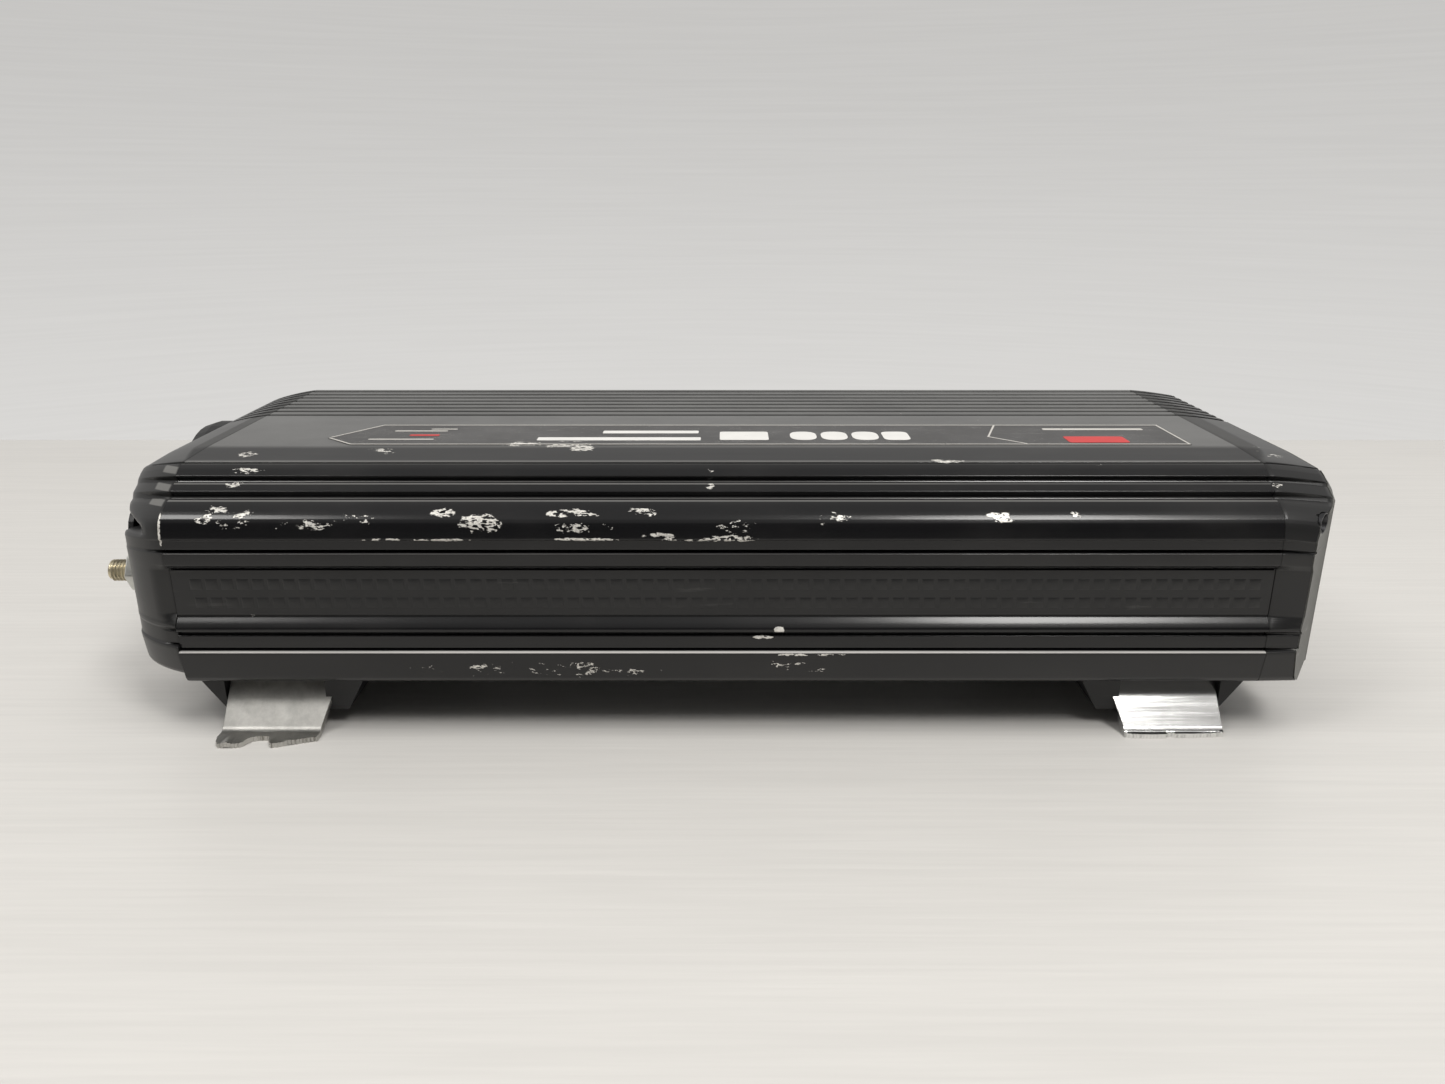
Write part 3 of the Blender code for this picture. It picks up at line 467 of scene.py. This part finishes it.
topRun = np.stack([finMiddle[:, None] + finStep, np.full((len(finMiddle), 4), 93.5), np.zeros((len(finMiddle), 4)),
                   np.broadcast_to(finSink, (len(finMiddle), 4))], -1).reshape(-1, 4)
section = np.concatenate([nearSide, farSide, topRun])
flatSection = rounded(section[:, :2], bodyShape["lip"])
deepSection = rounded(section[:, :2] + section[:, 2:], bodyShape["lip"])


def contour(groove=1.0, sideIn=0.0, topIn=0.0, baseIn=0.0):
    # Section between its smooth and its grooved outline, then pulled in: y by side / 85, z by its share
    # of the distance from mid height
    points = flatSection + (deepSection - flatSection) * np.asarray(groove, float).reshape(-1, 1)
    rise = (points[:, 1] - 56.65) / 36.85
    drop = rise * np.where(rise > 0, topIn, baseIn)
    return np.column_stack([points[:, 0] * (1 - sideIn / 85.0), points[:, 1] - drop])


def stand(x, outline):
    # The outline of y and z, set at x, which is one number or one for each point
    return np.column_stack([np.broadcast_to(x, len(outline)), outline])


# Housing: the section run along X, with an inner wall that opens under the body
nearCount = len(nearSide) * 4  # four points stand in for each corner
inner = np.array([(66.0, 19.8), (66.0, 22.3), (78.9, 22.3), (78.9, 75.5), (70.0, 81.0), (58.5, 90.0),
                  (-58.5, 90.0), (-70.0, 81.0), (-78.9, 75.5), (-78.9, 22.3), (-66.0, 22.3), (-66.0, 19.8)])
outline = np.concatenate([deepSection[nearCount:], deepSection[:nearCount], inner[::-1]])
housing = loft("housingShell", [stand(x, outline) for x in np.linspace(-bodyShape["half"], bodyShape["half"], 33)],
               housingCoat, angle=40.0)
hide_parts("housing")
print("housing made")

# Side grille: a strip that fills the recess, with two rows of barely raised cells half a cell apart
grille = {"low": 45.3, "high": 61.0, "half": 183.8, "pitch": 5.2, "cell": 4.3, "rise": 0.2,
          "rows": ((54.0, 58.0, 0.0), (47.4, 51.4, 0.9))}
for side, label in ((-1, "near"), (1, "far")):
    floorY, frontY = side * 81.7, side * 82.15
    corner = [(x, z) for x, z in ((-1, 0), (1, 0), (1, 1), (-1, 1))]
    verts = [[(grille["half"] * a, y, grille["low"] + (grille["high"] - grille["low"]) * b) for a, b in corner]
             for y in (floorY, frontY)]
    verts = np.array(verts, float).reshape(-1, 3)
    hull = np.array([(0, 1, 2, 3), (4, 5, 6, 7), (0, 1, 5, 4), (1, 2, 6, 5), (2, 3, 7, 6), (3, 0, 4, 7)])
    allVerts, allFaces = [verts], [hull]
    starts = np.arange(-178.0, 176.0, grille["pitch"])
    for low, high, lag in grille["rows"]:
        left, right = starts + lag, starts + lag + grille["cell"]
        cells = []
        for y, pull in ((frontY - side * 0.05, 0.0), (frontY + side * grille["rise"], 0.5)):
            for x, z in ((left + pull, low + pull), (right - pull, low + pull),
                         (right - pull, high - pull), (left + pull, high - pull)):
                cells.append(np.column_stack([x, np.full(len(starts), y), np.full(len(starts), z)]))
        cells = np.stack(cells, 1)
        first = sum(len(v) for v in allVerts)
        allVerts.append(cells.reshape(-1, 3))
        allFaces.append((first + 8 * np.arange(len(starts))[:, None, None] + hull).reshape(-1, 4))
    verts, faces = np.concatenate(allVerts), np.concatenate(allFaces).tolist()
    strip = finishPiece(f"sideGrille.{label}", verts, faces, grillePlastic)
    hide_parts(f"side_grille_{label}")
print("grilles made")

# DC end cap: the section closes in along a quarter curve; upper grooves fade late, side ones at once
dcCap = {"start": 184.14, "end": 202.4, "sideIn": 12.0, "topIn": 4.2, "baseJoint": 2.7, "baseEnd": 4.9, "rim": 2.4,
         "upperFade": 0.8, "lowerFade": 0.26, "bite": 8.2, "biteAt": 73.4}
upper = flatSection[:, 1] > 80.5


def capX(t, outline):
    # Even steps from joint to end; near the end a break pulls the near edge back, steep below and slow above
    y, z = outline.T
    span = np.where(z < dcCap["biteAt"], 1.0, 3.6)
    bite = np.where(y < -50, np.exp(-((z - dcCap["biteAt"]) / span) ** 2), 0.0) * max(0.0, (t - 0.4) / 0.6)
    return -(dcCap["start"] + (dcCap["end"] - dcCap["start"]) * t) + bite * (dcCap["bite"] + 0.4 * np.sin(z * 5.1))


rings = []
for t in (0.0, 0.012, 0.06, 0.12, 0.2, 0.3, 0.4, 0.5, 0.6, 0.7, 0.8, 0.9, 0.97, 1.0):
    curve = 0.45 * t + 0.728 * (1.0 - math.sqrt(1.0 - 0.94 * t * t))
    edge = 0.6 if t == 1.0 else (0.15 if t == 0.97 else 0.14 * (t == 0.0))
    fade = np.where(upper, max(0.0, 1.0 - (t / dcCap["upperFade"]) ** 2), max(0.0, 1.0 - t / dcCap["lowerFade"]))
    base = dcCap["baseJoint"] + (dcCap["baseEnd"] - dcCap["baseJoint"]) * curve
    outline = contour(fade, 0.2 + dcCap["sideIn"] * curve + edge, dcCap["topIn"] * curve + edge, base + edge)
    rings.append(stand(capX(t, outline), outline))
for t, grow in ((1.0, 1.0), (0.6, 0.9), (0.0, 0.3)):
    rim = dcCap["rim"]
    back = 1 - t
    outline = contour(0.0, dcCap["sideIn"] * grow * t + rim + 4.0 * back, dcCap["topIn"] * t + rim + 3.0 * back,
                      dcCap["baseJoint"] + 2.2 * t + rim + 1.4 * back)
    rings.append(stand(capX(t, outline), outline))
dcRing = loft("dcEndCap", rings, capCoat, loop=True, angle=40.0)
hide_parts("dc_end_cap")

# AC end cap: a dark shell ended by the face plane and, at each side, an upright 45 degree plane
acCap = {"start": 184.14, "chamfer": 278.7, "reach": 203.9, "round": 1.4, "topIn": 2.4, "sideIn": 0.5, "wall": 1.6}


def shellReach(y):
    # Smooth least of the two planes: -k log(e^(-a/k) + e^(-b/k))
    planes = [np.full(len(y), acCap["reach"]), acCap["chamfer"] - np.abs(y)]
    return -acCap["round"] * np.log(sum(np.exp(-(p - 190.0) / acCap["round"]) for p in planes)) + 190.0


shellEnd = contour(0.25, acCap["sideIn"], acCap["topIn"], 0.0)
endX = shellReach(shellEnd[:, 0])
rings = []
for t in (0.0, 0.015, 0.1, 0.2, 0.32, 0.45, 0.58, 0.7, 0.82, 0.92, 0.98, 1.0):
    edge = 0.14 if t == 0.0 else 0.25 * (t == 1.0)
    fade = np.where(upper, 1.0 - 0.85 * t ** 1.3, 1.0 - 0.75 * t ** 0.6)
    outline = contour(fade, acCap["sideIn"] * t + edge, acCap["topIn"] * t ** 1.4 + edge, edge)
    rings.append(stand(acCap["start"] + (endX - acCap["start"]) * t, outline))
for pull, back in ((acCap["wall"], 0.0), (3.5, 14.0)):
    outline = contour(0.0, acCap["sideIn"] + pull, acCap["topIn"] + pull, pull)
    rings.append(stand(np.maximum(endX - back, acCap["start"]) if back else endX, outline))
acRing = loft("acEndCap", rings, capCoat, loop=True, angle=40.0)
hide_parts("ac_end_cap")

# AC face: grey end piece whose sides follow the same plane, cut for each fitting
acFace = {"halfWidth": 71.6, "topDrop": 4.6, "baseRise": 3.4}
rings = []
for slide, pull in ((-7.0, 4.6), (0.3, 0.5), (0.4, 0.15)):
    rings.append(stand(endX + slide, contour(0.2, acCap["sideIn"] + pull, acCap["topIn"] + pull, pull)))
for x, grow in ((205.2, 0.0), (205.75, 0.25), (206.0, 0.8)):
    outline = contour(0.0, 0.0, acFace["topDrop"] + grow, acFace["baseRise"] + grow)
    outline[:, 0] = np.clip(outline[:, 0], -acFace["halfWidth"] + grow, acFace["halfWidth"] - grow)
    rings.append(stand(x, outline))
face = loft("acFace", rings, facePlastic, angle=40.0)
windows = [("outlet_1", 0.3, 3.9), ("outlet_2", 0.3, 3.9), ("outlet_3", 0.3, 3.9), ("rocker_bezel", 0.25, 0.9),
           ("display_window", 0.25, 0.9), ("usb_port", 0.25, 0.9), ("remote_jack", 0.25, 0.7)]
cutters = []
for node, gap, corner in windows:
    low, high = (np.array(end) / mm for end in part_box(node))
    outline = roundBox(*((low + high) / 2)[1:], *(high - low + 2 * gap)[1:], corner)
    cutters.append(prism(f"cut.{node}", outline, 185.0, 222.0, facePlastic, body=None))
for y, z, radius in ((19.0, 76.0, 4.3), (41.0, 35.5, 6.25)):
    cutters.append(prism("cut.round", circle(y, z, radius), 185.0, 222.0, facePlastic, body=None))
for y in (-64.5, 64.5):
    for z in (26.5, 79.5):
        cutters.append(prism("cut.screw", circle(y, z, 3.7), 204.8, 222.0, facePlastic, body=None))
        cutters.append(prism("cut.shank", circle(y, z, 1.9, 20), 190.0, 222.0, facePlastic, body=None))
bake(face, cutters)

# Countersunk screw at each upper corner, square to the slanting plane
cornerScrew = {"middle": (198.9, 79.8, 76.6), "radius": 3.9, "sink": 3.4}
for side, label in ((-1, "near"), (1, "far")):
    spot = np.array(cornerScrew["middle"]) * (1, side, 1)
    way = (1.0, side, 0.0)
    radius, sink = cornerScrew["radius"], cornerScrew["sink"]
    for piece in (face, acRing):
        pocket = ((-sink, radius * 0.8), (0.4, radius), (8.0, radius))
        bake(piece, [turned("cut.pocket", pocket, spot, way, capCoat, body=None)])
    # A dark cup lines the pocket walls as painted shade, and the screw head rises from its floor
    shadeLinerAndHead = ((0.05, 0.75 * radius), (sink - 0.3, 0.93 * radius), (sink - 0.3, 0.84 * radius), (0.3, 0.66 * radius),
           (0.3, 2.2), (0.9, 2.1), (0.9, 1.3), (0.4, 1.0), (0.4, 0.3))
    shadeLinerAndHead = [(along - sink, around) for along, around in shadeLinerAndHead]
    screw = turned(f"cornerScrew.{label}", shadeLinerAndHead, spot, way, darkScrew, 32)
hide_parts("ac_face")
print("end pieces made")

# Label: dark film with a thin outline pointed at one end, plain bars and a red block
label = {"film": 93.70, "ink": 93.79, "line": 0.7, "near": -39.2, "far": -7.8}
near, farEdge = label["near"], label["far"]
filmEdge = [(-146.0, -28.8), (-134.3, near - 0.6), (169.2, near - 0.6), (168.8, farEdge + 0.6),
            (-131.4, farEdge + 0.6)]
film = prism("labelFilm", rounded(filmEdge, 1.0), 93.5, label["film"], labelFilm, "z")
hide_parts("label_plate")


def inkShape(name, outline, surface):
    piece = prism(name, outline, label["film"] + 0.005, label["ink"], surface, "z")
    return piece


def inkLine(name, points, width, surface):
    # A flat ribbon: each point moves half the width along the mean of its neighbours' normals
    path = np.array(points, float)
    ways = np.diff(path, axis=0)
    ways /= np.linalg.norm(ways, axis=1)[:, None]
    mean = np.concatenate([ways[:1], ways[1:] + ways[:-1], ways[-1:]])
    mean /= np.linalg.norm(mean, axis=1)[:, None]
    normal = mean[:, ::-1] * (-1.0, 1.0)
    first = np.concatenate([ways[:1], ways])[:, ::-1] * (-1.0, 1.0)
    reach = width / 2 / np.maximum(0.5, np.abs((normal * first).sum(1)))[:, None]
    return inkShape(name, np.concatenate([path + normal * reach, (path - normal * reach)[::-1]]), surface)


inkLine("labelFrame", [(-145.0, -29.3), (-134.0, near), (168.4, near), (168.0, farEdge), (-131.0, farEdge),
                       (-144.6, -28.4)], label["line"], paleInk)
inkLine("labelDivider", [(105.0, farEdge - 0.6), (98.5, -27.5), (110.0, near + 0.7)], label["line"], paleInk)
for index, (x, y, w, h, corner) in enumerate((
        (64.4, -26.0, 9.8, 13.5, 2.6), (53.0, -26.0, 9.8, 13.5, 4.6), (41.5, -26.0, 9.8, 13.5, 4.6),
        (30.0, -26.0, 9.8, 13.5, 4.6), (8.0, -26.0, 18.0, 13.5, 1.0), (-38.0, -31.0, 60.0, 4.8, 0.6),
        (-27.0, -19.8, 36.0, 4.4, 0.6))):
    inkShape(f"labelBlock.{index}", roundBox(x, y, w, h, corner), whiteInk)
for index, (x, y, w, h) in enumerate((
        (-118.0, -31.6, 24.0, 1.4), (-114.0, -18.0, 20.0, 1.4), (-106.0, -14.8, 10.0, 1.2),
        (141.0, -15.0, 38.0, 2.8))):
    inkShape(f"labelBar.{index}", roundBox(x, y, w, h, 0.5), paleInk)
inkShape("labelRed", roundBox(137.0, -32.0, 22.0, 9.6, 1.0), redInk)
inkShape("labelRedBar", roundBox(-111.0, -25.0, 11.0, 2.2, 0.6), redInk)
print("label made")

# Sheet-metal feet: a strip bent twice with a slotted front lip; two near lips are torn
foot = {"centre": 157.25, "half": 17.25, "sheet": 1.8, "bend": 2.2, "flare": 4.6, "reach": 92.5, "slot": 3.5,
        "slotAt": 89.8, "lip": 83.9}
tornEdge = {
    "dc": ([-17.3, -16.6, -15.3, -13.0, -9.5, -7.2, -6.2, -5.2, -3.6, -1.2, 0.8, 1.8, 3.0, 5.5, 8.0, 11.0,
            14.5, 17.3],
           [87.6, 90.2, 92.1, 92.4, 92.3, 91.6, 89.4, 87.9, 87.2, 86.9, 87.4, 90.6, 92.2, 91.6, 90.4, 89.4,
            88.2, 87.4]),
    "ac": ([-17.3, -15.0, -8.0, -3.5, -2.4, -1.0, 0.2, 6.0, 12.0, 17.3],
           [84.6, 85.5, 85.8, 85.6, 84.6, 84.4, 85.2, 85.3, 84.9, 84.2]),
}


def makeFoot(name, endName, end, side, surface, torn):
    # Points around the sheet's edge, from the bent middle line moved half a sheet each way; across the
    # width the lip beyond y 84 is scaled to the front edge's reach there, and the upper corner flares
    sheetPath = np.array([(45.0, 18.5), (69.5, 18.5), (82.8, 0.9), (foot["reach"], 0.9)])
    line = [sheetPath[:1]]
    t = np.linspace(0.0, 1.0, 7)[:, None]
    for i in (1, 2):
        arms = [sheetPath[k] - sheetPath[i] for k in (i - 1, i + 1)]
        arms = [arm / np.linalg.norm(arm) * foot["bend"] for arm in arms]
        line.append(sheetPath[i] + arms[0] * (1 - t) ** 2 + arms[1] * t ** 2)
    line = np.concatenate(line + [np.linspace((85.6, 0.9), sheetPath[3], 4)])
    way = np.gradient(line, axis=0)
    normal = (way / np.linalg.norm(way, axis=1)[:, None])[:, ::-1] * (-1.0, 1.0) * foot["sheet"] / 2
    edge = np.concatenate([line + normal, (line - normal)[::-1]])
    slot, half = foot["slot"], foot["half"]
    across = np.concatenate([np.linspace(-half, -slot - 0.02, 40), np.linspace(-slot, slot, 31),
                             np.linspace(slot + 0.02, half, 40)])
    if torn:
        reach = np.interp(across, *tornEdge[endName]) + 0.22 * np.sin(across * 5.3) + 0.14 * np.sin(across * 12.7)
        reach = np.minimum(reach, foot["reach"] - 0.1)
    else:
        inside = np.sqrt(np.clip(slot ** 2 - across ** 2, 0.0, None))
        corner = np.clip(np.abs(across) - (half - 1.5), 0, None) ** 2 * 0.7
        reach = np.where(np.abs(across) <= slot, foot["slotAt"] - inside, foot["reach"] - corner)
    y = edge[None, :, 0] + np.zeros((len(across), 1))
    z = edge[None, :, 1] + np.zeros((len(across), 1))
    start = foot["lip"]
    y = np.where(y > start, start + (y - start) * (reach[:, None] - start) / (foot["reach"] - start), y)
    curl = 0.5 * np.sin(across * 0.9)[:, None] * np.clip((y - 87.0) / 5.0, 0.0, 1.0) if torn else 0.0
    inward = np.clip(-end * across[:, None] / half, 0.0, 1.0)
    flare = foot["flare"] * np.clip((z - 8.5) / 6.0, 0.0, 1.0) ** 1.3 * inward ** 5
    flare = flare * np.clip((y - 64.0) / 4.0, 0.0, 1.0)
    x = end * foot["centre"] + across[:, None] * (1.0 - 0.03 * np.clip(z / 12.0, 0.0, 1.0)) - end * flare
    rings = np.stack([x, side * y, np.maximum(z + np.maximum(curl, 0.0), 0.0)], -1)
    piece = loft(name, rings, surface, angle=50.0)
    return piece


for end, endName, surface in ((-1, "dc", dullSteel), (1, "ac", brightSteel)):
    for side, sideName in ((-1, "near"), (1, "far")):
        piece = makeFoot(f"foot.{endName}.{sideName}", endName, end, side, surface, side < 0)
        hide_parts(f"foot_{endName}_{sideName}")
print("feet made")

# Terminals: threaded stud and chamfered nut
thread = {"radius": 4.0, "depth": 0.62, "pitch": 1.25, "from": -190.0, "to": -220.5, "z": 50.5}
nutShape = {"corner": 7.5, "from": -212.4, "to": -207.2, "chamfer": 0.7}
for pole, y in (("negative", -53.0), ("positive", -21.0)):
    # Radius falls by the depth times a triangle wave of (x / pitch + turn), and by 45 degrees at the tip
    x = np.linspace(thread["from"], thread["to"], 196)[:, None]
    turn = np.arange(24)[None] / 24
    radius = thread["radius"] - thread["depth"] * np.abs(2 * ((x / thread["pitch"] + turn) % 1.0) - 1)
    radius = radius - np.maximum(0.0, thread["to"] + 1.0 - x)
    swing = 2 * math.pi * turn
    rings = np.stack([x + 0 * turn, y + radius * np.cos(swing), thread["z"] + radius * np.sin(swing)], -1)
    stud = loft(f"stud.{pole}", rings, studZinc, angle=50.0)
    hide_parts(f"{pole}_stud")
    hexagon = circle(y, thread["z"], nutShape["corner"], 6)
    nut = prism(f"nut.{pole}", hexagon, nutShape["from"], nutShape["to"], nutSteel, body=None)
    bake(nut, [prism("cut.nut", circle(y, thread["z"], 4.3, 32), -225.0, -195.0, nutSteel, body=None)])
    bevelled(nut, nutShape["chamfer"])
    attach(nut, "body")
    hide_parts(f"{pole}_nut")
print("terminals made")

# The remaining CAD pieces keep their shape and take a surface here
nodeSurface = (
    (plainCoat, "bottom_plate dc_end_panel"),
    (darkPlastic, "negative_collar fan_frame fan_rotor fan_hood rocker_bezel usb_port breaker_ring "
     "remote_jack"),
    (redPlastic, "positive_collar power_rocker breaker_button"),
    (nutSteel, "negative_washer positive_washer earth_screw"),
    (outletPlastic, "outlet_1 outlet_2 outlet_3"),
    (windowFilm, "display_window"),
    (palePlastic, "display_button"),
    (darkScrew, "face_screw_near_low face_screw_near_high face_screw_far_low face_screw_far_high"),
    (footPlastic, "foot_block_dc foot_block_ac"),
    (boardResist, "main_board"),
    (studZinc, "board_post_1 board_post_2 board_post_3 board_post_4"),
    (copperMetal, "negative_strap positive_strap output_choke"),
    (canSleeve, "input_capacitor_1 input_capacitor_2 input_capacitor_3"),
    (ferriteBlock, "transformer_core_1 transformer_core_2"),
    (coilTape, "transformer_coil_1 transformer_coil_2"),
    (sinkMetal, "heat_rail_near heat_rail_far"),
)
for surface, names in nodeSurface:
    for piece in (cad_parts[node] for node in names.split()):
        for place in piece.material_slots:
            place.material = surface
        if not piece.material_slots:
            piece.data.materials.append(surface)


# Floor, sky and lights
def board(name, corners, surface):
    mesh = bpy.data.meshes.new(name)
    mesh.from_pydata(corners, [], [(0, 1, 2, 3)])
    mesh.materials.append(surface)
    piece = bpy.data.objects.new(name, mesh)
    bpy.context.scene.collection.objects.link(piece)


end = room["floorEnd"]
floorBoard = shopFloor("floorBoard", room["floor"], 0.38)
board("floor", [(-4.0, -4.0, 0.0), (4.0, -4.0, 0.0), (4.0, end, 0.0), (-4.0, end, 0.0)], floorBoard)

# Sky: bright at the sides and back, dimmer overhead, dark low in front; what shows of it is a plain pale backdrop
world = bpy.data.worlds.new("world")
world.use_nodes = True
tree = world.node_tree
skyWay = tree.nodes.new("ShaderNodeTexCoord").outputs["Generated"]
split = tree.nodes.new("ShaderNodeSeparateXYZ")
tree.links.new(skyWay, split.inputs[0])


def skyRamp(value, low, high, outLow, outHigh):
    # Smooth step of the value between two limits, mapped on to two outputs
    ramp = tree.nodes.new("ShaderNodeMapRange")
    ramp.interpolation_type = "SMOOTHSTEP"
    tree.links.new(value, ramp.inputs[0])
    for socket, entry in zip(ramp.inputs[1:3], (low, high)):
        socket.default_value = entry
    for socket, entry in zip(ramp.inputs[3:5], (outLow, outHigh)):
        if isinstance(entry, float):
            socket.default_value = entry
        else:
            tree.links.new(entry, socket)
    return ramp.outputs[0]


acrossSky = skyRamp(split.outputs["Y"], -0.55, -0.15, room["low"], room["side"])
acrossSky = skyRamp(split.outputs["Y"], 0.2, 0.6, acrossSky, room["back"])
studio = skyRamp(split.outputs["Z"], 0.45, 0.85, acrossSky, room["above"])
stretch = tree.nodes.new("ShaderNodeVectorMath")
stretch.operation = "MULTIPLY"
tree.links.new(skyWay, stretch.inputs[0])
stretch.inputs[1].default_value = (1.5, 1.5, 90.0)
ribs = tree.nodes.new("ShaderNodeTexNoise")
tree.links.new(stretch.outputs[0], ribs.inputs["Vector"])
dip = tree.nodes.new("ShaderNodeMath")
dip.operation = "MULTIPLY_ADD"
tree.links.new(ribs.outputs["Fac"], dip.inputs[0])
dip.inputs[1].default_value, dip.inputs[2].default_value = 0.05, -0.025
shown = tree.nodes.new("ShaderNodeMath")
tree.links.new(skyRamp(split.outputs["Z"], -0.25, 0.15, *room["backdrop"]), shown.inputs[0])
tree.links.new(dip.outputs[0], shown.inputs[1])
seen = tree.nodes.new("ShaderNodeLightPath").outputs["Is Camera Ray"]
strength = skyRamp(seen, 0.0, 1.0, studio, shown.outputs[0])
tree.links.new(strength, tree.nodes["Background"].inputs["Strength"])
tree.nodes["Background"].inputs["Color"].default_value = (*room["tint"], 1.0)
bpy.context.scene.world = world


def softLight(name, place, aim, size, power):
    data = bpy.data.lights.new(name, "AREA")
    data.shape = "RECTANGLE"
    data.size, data.size_y = size
    data.energy = power
    data.color = room["tint"]
    lamp = bpy.data.objects.new(name, data)
    lamp.visible_glossy = name != "wash"
    lamp.location = place
    way = np.array(aim, float) - np.array(place, float)
    tilt = math.atan2(math.hypot(way[0], way[1]), -way[2])
    lamp.rotation_euler = (tilt, 0.0, math.atan2(way[1], way[0]) - math.pi / 2)
    bpy.context.scene.collection.objects.link(lamp)


softLight("main", (0.56, -0.86, 1.42), (0.05, 0.0, 0.05), (0.42, 0.50), 11.0)
softLight("second", (-0.95, -0.70, 1.45), (0.0, 0.0, 0.05), (0.45, 0.35), 5.0)
softLight("wash", (0.0, -0.35, 2.2), (0.0, 0.1, 0.0), (2.4, 0.8), 22.0)
